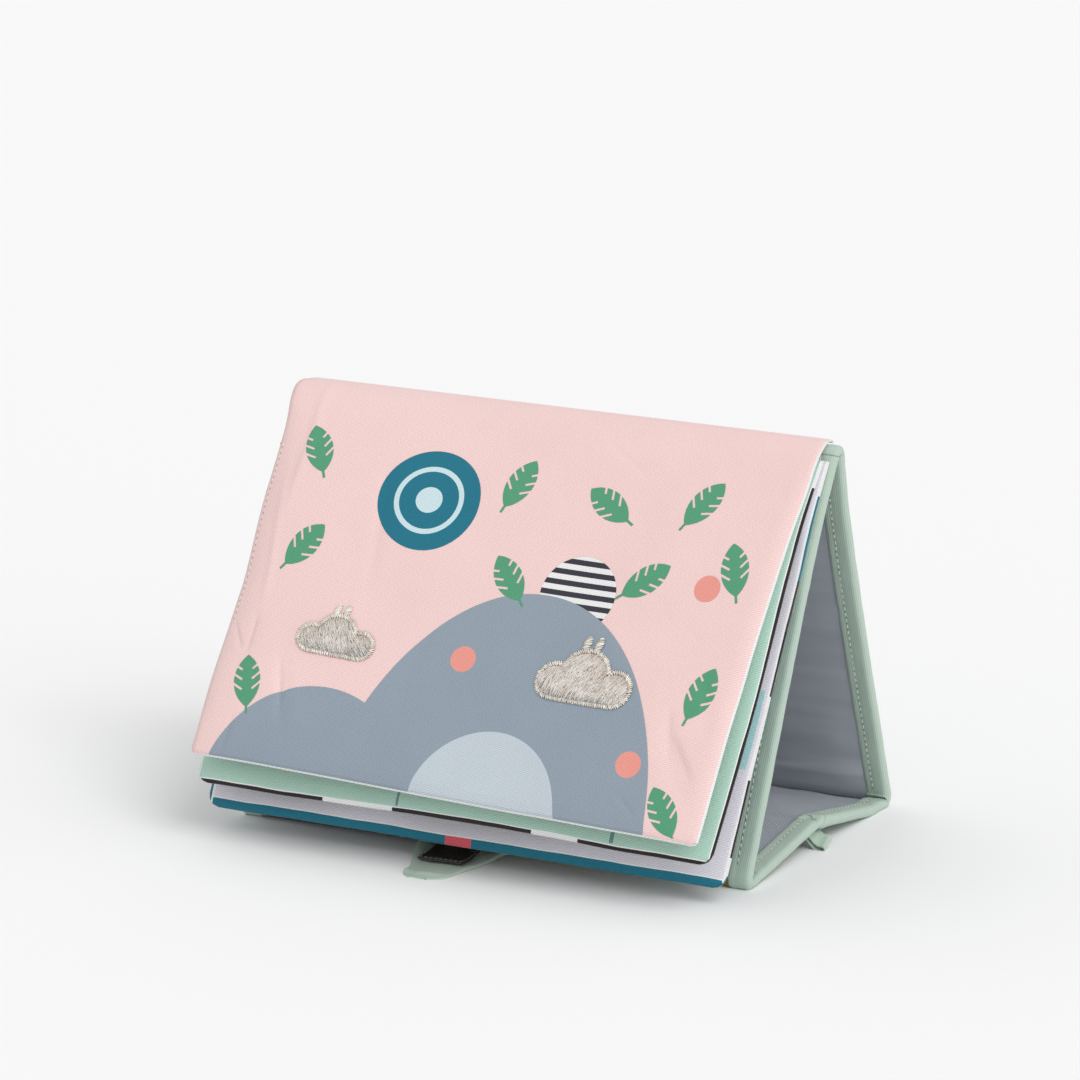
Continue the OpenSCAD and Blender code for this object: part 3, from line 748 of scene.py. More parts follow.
def strandModel():
    # one strand lies along +X, rises from its root and comes down to its tip
    long, wide = plush["strand"], plush["strandWide"]
    clearSelection()
    bpy.ops.mesh.primitive_cone_add(vertices=3, radius1=wide / 2 * mm, radius2=wide * 0.1 * mm,
                                    depth=long * mm,
                                    end_fill_type="NOTHING")
    model = bpy.context.object
    bpy.ops.object.mode_set(mode="EDIT")
    for t in (-0.28, 0.0, 0.25):
        bpy.ops.mesh.select_all(action="SELECT")
        bpy.ops.mesh.bisect(plane_co=(0, 0, t * long * mm), plane_no=(0, 0, 1))
    bpy.ops.object.mode_set(mode="OBJECT")
    for v in model.data.vertices:
        t = v.co.z / (long * mm) + 0.5
        v.co = Vector((t * long * mm, v.co.x, v.co.y + (1.15 * math.sin(math.pi * t ** 0.75) - 0.15) * mm))
    return model


def tuftModel(strand, count):
    parts = []
    for k in range(count):
        copy = strand.copy()
        copy.data = strand.data.copy()
        bpy.context.collection.objects.link(copy)
        size = random.uniform(0.7, 1.1)
        bend = random.uniform(-0.9, 0.9)
        for v in copy.data.vertices:
            v.co.y += bend * (v.co.x / (plush["strand"] * mm)) ** 2 * mm
        toneAndShadeThread(copy.data, [v.co.x / (plush["strand"] * mm) for v in strand.data.vertices],
                   random.uniform(0, 0.45))
        copy.matrix_world = (
            Matrix.Translation(Vector((random.uniform(-0.7, 0.7), random.uniform(-0.6, 0.6), 0)) * mm)
            @ Matrix.Rotation(random.uniform(-0.22, 0.22), 4, "Z") @ Matrix.Diagonal((size, size, size, 1)))
        parts.append(copy)
    return joinPieces("tuft", parts)


def copyTo(model, m, parts):
    copy = model.copy()
    copy.data = model.data.copy()
    bpy.context.collection.objects.link(copy)
    copy.matrix_world = m
    parts.append(copy)


def pileMaterial():
    # short pile plush: matt strands that catch the light along their length
    material, tree, shader = newMaterial("cream_pile_plush")
    tone = addNode(tree, "ShaderNodeAttribute", {"attribute_name": "tone"})
    spot = addNode(tree, "ShaderNodeTexCoord").outputs["Object"]
    patch = addNode(tree, "ShaderNodeTexNoise", {"Scale": 260.0, "Detail": 2.0}, {"Vector": spot})
    shade = calc(tree, "ADD", tone.outputs["Fac"],
                 calc(tree, "MULTIPLY", calc(tree, "SUBTRACT", patch.outputs["Fac"], 0.5), 0.7), clamp=True)
    # the tone runs from painted shade at the roots and on the base cloth to the pale tips, with random patches
    tree.links.new(mixColour(tree, shade, hexColour("#bfb0a2"), hexColour("#fffdf9")),
                   shader.inputs["Base Color"])
    shader.inputs["Roughness"].default_value = 0.5
    shader.inputs["Sheen Weight"].default_value = 0.35
    return material


def satinMaterial():
    # glossy embroidery thread laid side by side
    material, tree, shader = newMaterial("cream_satin_stitch")
    tone = addNode(tree, "ShaderNodeAttribute", {"attribute_name": "tone"})
    tree.links.new(mixColour(tree, tone.outputs["Fac"], hexColour("#9a8e7c"), hexColour("#faf5ec")),
                   shader.inputs["Base Color"])
    shader.inputs["Roughness"].default_value = 0.36
    shader.inputs["Specular IOR Level"].default_value = 0.55
    return material


def patchBase(name, cadName, spot, long):
    # the plush's own cloth, crowned under its pile
    piece = layOnCover(cutFine(takeFace(name, cadName), 2), 0.35)
    for v in piece.data.vertices:
        deep = cloudDepth(v.co.x / mm - spot[0], v.co.y / mm - spot[1], long) - plush["satin"]
        v.co.z += plush["crown"] * smooth(deep / 4) * mm
    piece.data.materials.clear()
    piece.data.materials.append(pile)
    # the base cloth between the strands takes a dark tone: painted shade under the pile
    toneAndShadeThread(piece.data, [0.0] * len(piece.data.vertices), 0.15)
    pick(piece)
    bpy.ops.object.shade_smooth()
    return piece


def pileOn(name, look, tufts):
    (cx, cy), long, parts = look["at"], look["long"], []
    step = plush["spacing"]
    reach = int(long / 2 / step) + 1
    for i in range(-reach, reach + 1):
        for j in range(-reach, reach + 1):
            u = (i + random.uniform(-0.45, 0.45) + 0.5 * (j % 2)) * step
            v = (j + random.uniform(-0.45, 0.45)) * step
            deep = cloudDepth(u, v, long)
            if deep < plush["satin"] * 0.8:
                continue
            turn = math.radians(look["flow"] + 34 * ripple(u, v, 26, look["seed"]) + random.uniform(-7, 7))
            for size in (1.0, 0.8, 0.6, 0.42):
                tip = plush["strand"] * size
                if (cloudDepth(u + tip * math.cos(turn), v + tip * math.sin(turn), long)
                        > plush["satin"] * 0.45):
                    lift = 0.3 + plush["crown"] * smooth((deep - plush["satin"]) / 4)
                    copyTo(random.choice(tufts),
                           leafFrame(cx + u, cy + v, turn, lift, (size, size, 0.6 + 0.4 * size)), parts)
                    break
    piece = joinPieces(name, parts)
    piece.data.materials.clear()
    piece.data.materials.append(pile)
    bpy.ops.object.shade_smooth()
    return piece


def satinRound(name, look):
    (cx, cy), long, width, parts = look["at"], look["long"], plush["satin"], []
    clearSelection()
    bpy.ops.mesh.primitive_uv_sphere_add(segments=8, ring_count=6, radius=0.5)
    thread = bpy.context.object
    for v in thread.data.vertices:
        v.co = Vector((v.co.x * 2.9, v.co.y * 0.62, v.co.z * 0.85 + 0.32 * math.cos(v.co.x * 3.0))) * mm
    for k, (p, out) in enumerate(cloudEdge(long, width / 2, plush["stitchPitch"] / 2)):
        # every other stitch lies lower, and its darker tone is painted shade between its raised neighbours
        lean, low = (0.42, 0.0) if k % 2 else (-0.2, 0.25)
        size = random.uniform(0.88, 1.16)
        toneAndShadeThread(thread.data, [0.6] * len(thread.data.vertices), random.uniform(0.1, 0.65) - low)
        copyTo(thread, leafFrame(cx + p.x + random.uniform(-0.12, 0.12), cy + p.y,
                                 out + lean + random.uniform(-0.1, 0.1),
                                 0.45 - low, (size, random.uniform(0.85, 1.1), 1)), parts)
    for s in (-1, 1):       # the two small stitched loops on the crown
        r = long * 0.05
        for k in range(9):
            t = (k - 4) / 4.6
            chord = r * 2.1 * math.sqrt(1 - t * t)
            toneAndShadeThread(thread.data, [0.6] * len(thread.data.vertices), random.uniform(0.0, 0.6))
            copyTo(thread, leafFrame(cx + long * (0.06 * s - 0.02) + t * 0.3, cy + long * 0.375 + t * r * 1.5,
                                     math.radians(18 + random.uniform(-8, 8)), 0.45, (chord / 2.9, 1.15, 1)), parts)
    bpy.data.objects.remove(thread)
    piece = joinPieces(name, parts)
    piece.data.materials.clear()
    piece.data.materials.append(satin)
    bpy.ops.object.shade_smooth()
    return piece


random.seed(21)
pile, satin = pileMaterial(), satinMaterial()
strand = strandModel()
tufts = [tuftModel(strand, 5) for _ in range(5)]
for word in ("large", "small"):
    look = plush[word]
    base = patchBase(word + "CloudBase", word + "_cloud_plush", look["at"], look["long"])
    fur = pileOn(word + "CloudPile", look, tufts)
    edge = satinRound(word + "CloudSatin", look)
    ring = [p for p, _ in cloudEdge(look["long"], plush["satin"], 1.0)]
    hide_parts(word + "_cloud_plush")
    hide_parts(word + "_cloud_stitch")
    coverPieces += [base, fur, edge]
    print(word, "cloud patch:", len(fur.data.polygons), "pile faces,", len(edge.data.polygons),
          "stitch faces")
for model in tufts + [strand]:
    bpy.data.objects.remove(model)

# The turning gap is sewn shut near the left edge, then the cover and all on it is hung from its hinge
seamSpots = []
for reach in range(0, 181):
    t = reach / 2
    up = coverLength - 28 - t if t <= 88 else 0
    if up > 0:
        edge = -122.9 + (2.2 * (1 - smooth(t / 2.5)) + 2.2 * smooth((t - 85.5) / 2.5)) * -0.9
        spot, normal = onCover(edge, up)
        seamSpots.append((spot, Vector((0, -1, 0)), normal))
gapStitches = stitchAlong("gapStitches", seamSpots, pinkThread, length=1.9, gap=0.7, width=0.55, sink=0.05,
                          holes=pinkHoleShade)
coverPieces.append(gapStitches)
hang(coverLeaf, coverHang)
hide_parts("cover_front_cloth", "cover_wadding", "cover_back_cloth", "cover_strip")
for piece in coverPieces:
    hang(piece, coverHang)
    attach(piece, "cover")
coverSeam = place(0, hingeY, hingeZ)
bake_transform(coverLeaf)
print("cover hung")

# The stand: two panels, the base and the ridge, with binding tape around both ends
stand = {
    "tape": 10.0, "panelDeep": 5.0, "tapeRound": 1.7, "stitchInset": 3.4,
    "skin": 4.2, "cutWide": 246.0,
}


# side is -1 for the front panel and 1 for the back one; down is the distance from the fold line
def panelSpot(side, x, down, out):
    y = down * math.sin(lean) + out * math.cos(lean)
    return place(x, side * y, book["foldHeight"] - down * math.cos(lean) + out * math.sin(lean))


# Outer cloth: down the panel, round the foot roll, and turned under along the table
def footPath(side):
    points = []
    for k in range(0, 93):
        s = 0.4 + (book["rollStart"] - 0.4) * k / 92
        y = s * math.sin(lean) + stand["skin"] * math.cos(lean)
        points.append((side * y, book["foldHeight"] - s * math.cos(lean) + stand["skin"] * math.sin(lean)))
    r = book["rollRadius"]
    for k in range(1, 25):
        a = math.pi - lean + (math.pi / 2 + lean) * k / 24
        points.append((-side * (rollY + r * math.cos(a)), r + r * math.sin(a)))
    points += [(-side * (rollY + d), 0.0) for d in (1, 2, 3, 4, 5, 6, 7)]
    return followPath(points)


def outerCloth(name, side, material):
    path = footPath(side)

    def shape(a, b):
        x = a - stand["cutWide"] / 2
        free = smooth((book["rollStart"] - b) / 12) * smooth(b / 10)
        swell = free * (0.25 + 0.35 * ripple(x, b, 48, 20 + side)) + 0.1 * ripple(x, b, 9, 22)
        swell += 0.12 * smooth((b - 178) / 6) * smooth((196 - b) / 6) * ripple(x, b, 5, 23)
        y, z = path(b, side * (swell - 0.15))
        return place(x, y, max(z, 0.04))
    return clothFromGrid(name, stand["cutWide"], path.length, (3.2, 2.2), shape, material, 0.55, side * 1.0)


# Lining on a panel's inner face: smooth satin over the board, a little full near the seams
def lining(name, side):
    long = 188.6

    def shape(a, b):
        x = a - stand["cutWide"] / 2
        free = smooth(b / 14) * smooth((long - b) / 10) * smooth((114.5 - abs(x)) / 14)
        swell = free * (0.35 + 0.55 * ripple(x, b, 52, 30 + side) + 0.12 * ripple(x, b, 14, 33))
        swell += (0.9 * math.exp(-((b - 168) / 8) ** 2) + 0.5 * math.exp(-((b - 150) / 6) ** 2)) * free
        swell += (0.35 * math.sin((b + 5 * ripple(x, 0, 60, 36)) / 3.4) * free
                  * math.exp(-((b - 160) / 26) ** 2))
        return panelSpot(side, x, b + 0.4, 0.62 - swell)
    return clothFromGrid(name, stand["cutWide"], long, (3.0, 1.6), shape, liningCloth, 0.3, side * -1.0)


# Binding tape folded round one end: the outer face, the rounded end and the inner face.
# outer(s) and inner(s) give the two faces' (y, z) along the tape, and end is -1 at the left.
def boundEnd(name, end, long, outer, inner, seed, cell=1.5, material=sageCloth, lap=None):
    w, r = stand["tape"], stand["tapeRound"]
    across = 2 * (w - r) + math.pi * r + 1.2

    def shape(a, s):
        (oy, oz), (iy, iz) = outer(s), inner(s)
        deep = math.hypot(oy - iy, oz - iz) or 0.01
        flatLong, turn = w - r, math.pi * r + 1.2
        pucker = 0.16 * ripple(s, a, 4.2, seed) + 0.28 * ripple(s, a, 15, seed + 1)
        if a < flatLong:
            x, n, lift = 125 - w + a, deep, 1.0
            edge = a
        elif a > flatLong + turn:
            x, n, lift = 125 - r - (a - flatLong - turn), 0.0, -1.0
            edge = across - a
        else:
            t = (a - flatLong) / turn * math.pi
            x, n, lift = 125 - r + r * math.sin(t), deep / 2 + deep / 2 * math.cos(t), math.cos(t)
            edge = 99
            x += 0.35 * math.sin(t) + pucker * 0.6 * math.sin(t)
        groove = 0.3 * math.exp(-((edge - stand["stitchInset"]) / 0.9) ** 2)
        rise = (pucker + 0.25 * smooth(edge / 2.5) - groove + (lap(edge, s) if lap else 0.0)) * lift
        press = 0.45 * (1 - smooth(s / 24)) * (1 - lift) / 2       # sewn flat near the fold line
        t = (n + rise + press) / deep
        y, z = iy + (oy - iy) * t, iz + (oz - iz) * t
        return place(end * x, y, max(z, 0.05))
    piece = clothFromGrid(name, across, long, (0.95, cell), shape, material)
    pick(piece)
    bpy.ops.object.mode_set(mode="EDIT")
    bpy.ops.mesh.select_all(action="SELECT")
    bpy.ops.mesh.normals_make_consistent(inside=False)
    bpy.ops.object.mode_set(mode="OBJECT")
    solid = piece.modifiers.new("thickness", "SOLIDIFY")
    solid.thickness, solid.offset = 0.6 * mm, -1.0
    applyAll(piece)
    return piece, across


def panelEdge(side):
    # the tape's outer and inner faces down the panel, then fanned round the foot roll
    turnLong = (book["rollRadius"] + 0.8) * (math.pi / 2 + lean)
    start, deep = 0.15, stand["panelDeep"]

    def outer(s):
        if s < book["rollStart"] - start:
            d = s + start
            y = d * math.sin(lean) + deep * math.cos(lean)
            return side * y, book["foldHeight"] - d * math.cos(lean) + deep * math.sin(lean)
        a = math.pi - lean + (s + start - book["rollStart"]) / (book["rollRadius"] + 0.8)
        r = book["rollRadius"] + 0.8
        return -side * (rollY + r * math.cos(a)), max(0.1, book["rollRadius"] + r * math.sin(a))

    def inner(s):
        d = min(s + start, book["rollStart"] + 0.2)
        y = d * math.sin(lean)
        return side * y, book["foldHeight"] - d * math.cos(lean)
    return outer, inner, book["rollStart"] - start + turnLong * 0.985


# One line of stitches along a bound end, on its outer (n = 1) or inner (n = 0) face
def tapeStitches(name, end, long, outer, inner, face, first=2.0, last=2.0):
    spots = []
    count = int(long / 0.4)
    inset = 125 - stand["tape"] + stand["stitchInset"]
    for k in range(count):
        s = first + (long - first - last) * k / (count - 1)
        (oy, oz), (iy, iz) = outer(s), inner(s)
        (py, pz), (qy, qz) = (outer(s + 0.5), inner(s + 0.5))
        deep = math.hypot(oy - iy, oz - iz) or 0.01
        n = Vector((0, (oy - iy) / deep, (oz - iz) / deep)) * (1 if face else -1)
        here = place(end * inset, *((oy, oz) if face else (iy, iz)))
        ahead = place(end * inset, *((py, pz) if face else (qy, qz)))
        spots.append((here, ahead - here, n))
    return stitchAlong(name, spots, sageThread, length=2.2, gap=0.9, width=0.6, sink=0.04, holes=needleHoleShade)


# the two charcoal bands along the bottom at the left are painted shade, where the pages hang over the front cloth
frontCloth = outerCloth("frontCloth", -1, paintCloth("olive_woven_cloth", "plain", fieldPaint(
    colours["olive"], [(10, 100, 166.5, 183.4, colours["charcoal"]),
                       (10, 100, 185.6, 215, colours["charcoal"])], 0.3)))
backCloth = outerCloth("backCloth", 1, paintCloth("sage_woven_panel", "plain", plainPaint(colours["sage"])))
frontLining, backLining = lining("frontLining", -1), lining("backLining", 1)
for piece, body, cadNames, slot in ((frontCloth, "front", ("front_cloth", "front_band_print"), "olive_cloth"),
                                    (backCloth, "back", ("back_cloth",), "sage_cloth"),
                                    (frontLining, "front", ("front_lining",), "slate_lining"),
                                    (backLining, "back", ("back_lining",), "slate_lining")):
    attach(piece, body)
    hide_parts(*cadNames)
    0.1886 if "Lining" in piece.name else 0.205
for side, body in ((-1, "front"), (1, "back")):
    outer, inner, long = panelEdge(side)
    for end, word in ((-1, "Left"), (1, "Right")):
        piece, across = boundEnd(body + "Binding" + word, end, long, outer, inner, 40 + side * 3 + end)
        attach(piece, body)
        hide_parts(body + "_binding_" + word.lower())
        for face in (0, 1):
            row = tapeStitches(body + "Stitches" + word + ("Inner", "Outer")[face], end,
                               book["rollStart"] - 2,
                               outer, inner, face, (17.0, 2.0)[face])
            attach(row, body)
print("panels covered and bound")
# Pages: two filled leaves that hang from the seam block under the cover
pages = {
    # front leaf, rear leaf
    "seamDown": 3.0, "seamOut": (9.1, 6.4), "lean": (34.0, 28.8), "rise": (25.5, 12.5),
    "blockWide": 238.0, "blockLong": 6.5,
}


def pageSeam(k):
    v, out = pages["seamDown"], pages["seamOut"][k]
    return (-(v * math.sin(lean) + out * math.cos(lean)),
            book["foldHeight"] - v * math.cos(lean) + out * math.sin(lean))


def pageLength(k):
    return (pageSeam(k)[1] - pages["rise"][k]) / math.cos(math.radians(pages["lean"][k]))


def pageHang(k):
    seamY, seamZ = pageSeam(k)
    length, turn = pageLength(k), math.radians(pages["lean"][k])

    def how(x, up, n):
        down, side = length - up, x / 125
        free = smooth((down - 14) / 60)
        inward = ((1.3, 0.5)[k]) * (1 - smooth(down / 45))      # flat where it is sewn
        swell = free * (0.9 * ripple(x, down, 66, 11 + k) + 0.35 * ripple(x, down, 24, 13 + k))
        swell += free * (2.2, -1.2)[k] * side * smooth(down / 170)
        if k == 0:      # the padded corner at the bottom left stands proud
            swell += 1.6 * math.exp(-((x + 112) / 20) ** 2 - ((up - 9) / 10) ** 2)
        reach = down + smooth(down / 170) * (
            (0.0, 3.4)[k] + (0.6, 1.3)[k] * side + (3.2, 0.0)[k] * smooth(side))
        x += ((1.8, 0.0)[k] * smooth(side) - (1.0, 2.2)[k] * smooth(-side)) * smooth(down / 150)
        x -= (3.6, 1.8)[k] * smooth(side) * (1 - smooth(down / (120, 60)[k]))
        reach += 0.5 * ripple(x, 0, 33, 17 + k) * smooth((12 - up) / 12)
        n += swell - inward
        return place(x, seamY - math.sin(turn) * reach - math.cos(turn) * n,
                     seamZ - math.cos(turn) * reach + math.sin(turn) * n)
    return how


leafLook = {"seam": 1.0, "taper": 6.0, "corner": 6.0, "cell": 2.8, "pressure": 1.0, "bend": 0.25, "cap": 0.8,
            "pull": 0.1, "held": 10.0, "width": 250.0}
mintFields = [      # left, right, bottom, top
    (-125, 125, -2, 1.9, colours["seamWhite"]), (-125, -62, -2, 1.4, colours["black"]),
    (-28, 40, -2, 1.5, colours["black"]), (62, 125, -2, 1.4, colours["black"]),
    (123.6, 126, -2, 200, colours["seamWhite"]), (124.1, 126, -2, 170, colours["black"]),
    (-126, -123.8, -2, 200, colours["seamWhite"]),
    (-26.6, -25.4, 2.4, 60, "#6f8f90"), (76.5, 78.4, 2.4, 60, "#6f8f90"),
]
lilacFields = [
    (98, 122.4, 52, 86, colours["aqua"]),
    (-125, 125, -2, 4.4, colours["seamWhite"]), (-125, 125, -2, 3.8, colours["teal"]),
    (-9, 3.5, -2, 3.8, colours["coral"]),
    (-126, -122.6, -2, 200, colours["seamWhite"]), (-126, -123.6, -2, 200, colours["teal"]),
    (123.7, 126, -2, 200, colours["seamWhite"]), (124.5, 126, 14, 48, colours["black"]),
    (124.5, 126, 84, 112, colours["black"]), (124.5, 126, 112, 134, colours["charcoal"]),
    (124.5, 126, 134, 171, colours["teal"]),
]
mintRim = [(-125, -62, -2, 6, colours["black"]), (-28, 40, -2, 6, colours["black"]),
           (62, 126, -2, 6, colours["black"]),
           (120, 126, -2, 170, colours["black"])]
lilacRim = [(-126, 126, -2, 6, colours["teal"])] + lilacFields[7:]
blackBack = [(-125, -62, 1, 23, colours["black"]), (-28, 40, 1, 23, colours["black"]),
             (120, 125, 1, 150, colours["black"])]
tealBack = [(-125, 125, 1, 131, colours["teal"]), (-8, 4, 1, 30, colours["coral"])]
frontPage = fillLeaf("frontPage", dict(leafLook, length=pageLength(0),
                                       thick=lambda down: 1.4 + 1.2 * smooth(down / 50)),
                     [paintCloth("mint_printed_twill", "twill", fieldPaint(colours["mint"], mintFields, 0.8)),
                      paintCloth("white_print_black_blocks", "twill",
                                 fieldPaint(colours["seamWhite"], blackBack, 0.3)),
                      paintCloth("black_turned_seam", "plain",
                                 fieldPaint(colours["seamWhite"], mintRim, 0.0))])
rearPage = fillLeaf("rearPage", dict(leafLook, length=pageLength(1),
                                     thick=lambda down: 1.6 + 1.1 * smooth(down / 50)),
                    [paintCloth("lilac_printed_twill", "twill",
                                fieldPaint(colours["lilac"], lilacFields, 0.8)),
                     paintCloth("teal_printed_back", "twill",
                                fieldPaint(colours["seamWhite"], tealBack, 0.3)),
                     paintCloth("teal_turned_seam", "plain",
                                fieldPaint(colours["seamWhite"], lilacRim, 0.0))])
for k, piece in enumerate((frontPage, rearPage)):
    hang(piece, pageHang(k))
    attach(piece, "front")
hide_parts("pages", "page_face_print", "page_black_print")
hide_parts("pages", "page_teal_print", "page_coral_print", "page_aqua_print")
print("pages filled and hung")


# The block where the pages' seam allowances are stitched together, hidden under the cover
def seamBlock(a, b):
    return panelSpot(-1, a - pages["blockWide"] / 2, pages["seamDown"] + b,
                     5.3 + 3.6 * math.sqrt(math.sin(math.pi * min(1.0, b / pages["blockLong"]))))


block = clothFromGrid("pageSeamBlock", pages["blockWide"], pages["blockLong"], (6.0, 0.5), seamBlock,
                      paintCloth("white_seam_block", "plain", plainPaint(colours["seamWhite"])), 0.5, -1.0)
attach(block, "front")
# The padded base: two halves with a crease, on the turned hems
base = {"thick": 3.0, "crease": 10.4, "creaseAt": -3.0, "bottom": 0.6, "gap": 0.15}
hemY = rollY + book["hem"]
baseTopY = -(book["footSpread"] * (1 - (base["bottom"] + base["thick"]) / book["foldHeight"])) + base["gap"]


def baseHeight(y):
    # underside of the base at y from its middle, folded up to a crease
    ahead = y - base["creaseAt"]
    t = 1 - (math.sqrt(ahead * ahead + 0.5) - 0.2) / (abs(hemY) - math.copysign(base["creaseAt"], ahead))
    return base["bottom"] + (base["crease"] - base["bottom"]) * min(1.0, max(0.0, t))


def basePad():
    half = abs(baseTopY)
    around = 4 * half + 2 * base["thick"]

    def shape(a, b):
        x = a - stand["cutWide"] / 2
        b = b % around
        if b < 2 * half:
            y, top = -half + b, 1.0
        elif b < 2 * half + base["thick"]:
            y, top = half, 1 - (b - 2 * half) / base["thick"]
        elif b < 4 * half + base["thick"]:
            y, top = half - (b - 2 * half - base["thick"]), 0.0
        else:
            y, top = -half, (b - 4 * half - base["thick"]) / base["thick"]
        low = baseHeight(y)
        deep = (base["thick"] * (1 - 0.45 * math.exp(-((y - base["creaseAt"]) / 3.5) ** 2))
                * (0.55 + 0.45 * smooth((half - abs(y)) / 7)))
        free = (smooth((half - abs(y)) / 16) * smooth((115 - abs(x)) / 14)
                * (1 - math.exp(-((y - base["creaseAt"]) / 7) ** 2)))
        full = free * (0.9 + 1.3 * ripple(x, y, 38, 51) + 0.5 * ripple(x, y, 15, 52)) * top
        pull = (0.5 * math.exp(-((half - abs(y)) / 7) ** 2) * ripple(x, 0, 7, 53) * top
                * smooth((115 - abs(x)) / 6))
        return place(x, y * (1 - 0.004 * (1 - top)), low + deep * top + full + pull)
    piece = clothFromGrid("basePad", stand["cutWide"], around, (2.6, 1.6), shape, baseTwill)
    return piece, around


def baseEdge():
    half = abs(baseTopY) + 0.8

    def outer(s):
        y = -half + s
        deep = base["thick"] * (1 - 0.3 * math.exp(-((y - base["creaseAt"]) / 2.5) ** 2))
        return y, baseHeight(y) + deep * (0.6 + 0.4 * smooth((half - abs(y)) / 9)) + 0.8

    def inner(s):
        y = -half + s
        return y, max(0.12, baseHeight(y) - 0.8)
    return outer, inner, 2 * half


def foldBetween(piece):
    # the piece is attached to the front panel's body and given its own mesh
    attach(piece, "front")
    place(0, -66, 2)
    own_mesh(piece)


pad, around = basePad()
pick(pad)
bpy.ops.object.mode_set(mode="EDIT")
bpy.ops.mesh.select_mode(type="EDGE")
bpy.ops.mesh.select_all(action="SELECT")
bpy.ops.mesh.remove_doubles(threshold=0.00005)
bpy.ops.mesh.select_all(action="DESELECT")
bpy.ops.mesh.select_non_manifold()
bpy.ops.mesh.edge_face_add()
bpy.ops.mesh.select_all(action="SELECT")
bpy.ops.mesh.normals_make_consistent(inside=False)
bpy.ops.object.mode_set(mode="OBJECT")
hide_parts("base_pad")
foldBetween(pad)
outer, inner, long = baseEdge()
half = long / 2
# mitred folds at the crease
foldedTape = paintCloth("sage_folded_binding", "plain", plainPaint(colours["sage"]), [
    (5.6, half - 2.2, 54, 13, 0.55, -0.7), (6.2, half + 4.0, 66, 13, 0.6, 0.6),
    (6.6, half + 5.4, 66, 12, 0.5, -0.6),
    (4.0, 9.5, 62, 10, 0.5, -0.6), (4.0, long - 9.5, -62, 10, 0.5, -0.6)])


def creaseLap(edge, s):
    # the tape folds over itself at the crease, and is turned under at the back corner
    ahead = s - half + 5 - 0.7 * min(edge, 8.0)
    corner = s - long + 7 - 0.6 * min(edge, 8.0)
    return (0.95 * smooth(ahead / 0.9 + 0.5) * math.exp(-max(0.0, ahead) / 8)
            + 0.4 * smooth(corner / 0.9 + 0.5) * math.exp(-max(0.0, corner) / 9))


for end, word in ((-1, "Left"), (1, "Right")):
    piece, across = boundEnd("baseBinding" + word, end, long, outer, inner, 60 + end, 0.75, foldedTape,
                             creaseLap)
    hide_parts("base_binding_" + word.lower())
    foldBetween(piece)
    row = tapeStitches("baseStitches" + word, end, long, outer, inner, 1, 6, 6)
    foldBetween(row)
print("base filled and bound")


# Cloth over the ridge, and the bound ends of the ridge
def ridgeArc(r, turn):
    return r * math.cos(turn), book["foldHeight"] + r * math.sin(turn)


def ridgeShape(a, b):
    turn = math.pi - lean - b / 4.2
    y, z = ridgeArc(4.2 + 0.12 * ripple(a, b, 9, 71), turn)
    return place(a - stand["cutWide"] / 2, y, z)


ridgeLong = 4.2 * (math.pi - 2 * lean)
ridge = clothFromGrid("ridgeCloth", stand["cutWide"], ridgeLong, (3.0, 0.8), ridgeShape, sageCloth, 0.5, -1.0)
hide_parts("ridge_cloth")
place(0, -5, 180)
place(0, 5, 180)
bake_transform(ridge)


def ridgeOuter(s):
    return ridgeArc(5.0, math.pi - lean - s / 5.0)


def ridgeInner(s):
    return ridgeArc(0.3, math.pi - lean - s / 5.0)


ridgeTurn = 5.0 * (math.pi - 2 * lean)
for end, word in ((-1, "Left"), (1, "Right")):
    piece, across = boundEnd("ridgeBinding" + word, end, ridgeTurn, ridgeOuter, ridgeInner, 80 + end, 0.8)
    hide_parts("ridge_binding_" + word.lower())
    place(0, -5, 180)
    place(0, 5, 180)
    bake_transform(piece)
print("ridge covered")
# Closure tab: soft cloth that comes out from under the front foot, with a square of hook tape
tab = {"x": -11.0, "root": 44.0, "nose": 24.0, "long": 49.0, "round": 7.0, "thick": 1.5, "hook": 22.0,
       "hookGap": 6.0}
tabRoot = rollY - math.sqrt(book["rollRadius"] ** 2 - (book["rollRadius"] - 1.6) ** 2) - 0.3


def tabHalf(b):
    straight = tab["long"] - tab["round"]
    half = tab["root"] / 2 + (tab["nose"] - tab["root"]) / 2 * min(1, b / straight)
    if b > straight:
        half += math.sqrt(max(0.0, tab["round"] ** 2 - (b - straight) ** 2)) - tab["round"]
    return half


def tabTop(u, b):
    # height of the tab's underside: it slopes down from the foot and its edges stay loose
    side = u / tabHalf(b) if tabHalf(b) > 0.1 else 0.0
    z = 2.2 * (1 - smooth(b / 24))
    loose = smooth(b / 8) * smooth((abs(side) - 0.55) / 0.45)
    z += loose * (2.4 if u < 0 else 1.2) * (1 - 0.6 * smooth((b - 30) / 15))
    z += 1.5 * math.exp(-((b - 43) / 2.6) ** 2) * (0.6 + 0.6 * ripple(u, 0, 8, 91))
    z += 0.5 * smooth(b / 10) * (0.5 + ripple(u, b, 11, 92))
    return 0.1 + max(0.0, z)


def tabShape(a, b):
    u = (a / tab["root"] - 0.5) * 2 * tabHalf(b)
    u *= 1 - 0.24 * smooth((b - 14) / 24) * smooth(-u / 6)
    ragged = 0.8 * ripple(u, 0, 3.2, 93) * smooth((b - 44) / 5)
    return place(tab["x"] + u, tabRoot - b + ragged, tabTop(u, b))


closureTab = clothFromGrid("closureTab", tab["root"], tab["long"], (1.1, 1.0), tabShape, sageCloth,
                           tab["thick"], 1.0)
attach(closureTab, "front")
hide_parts("closure_tab")


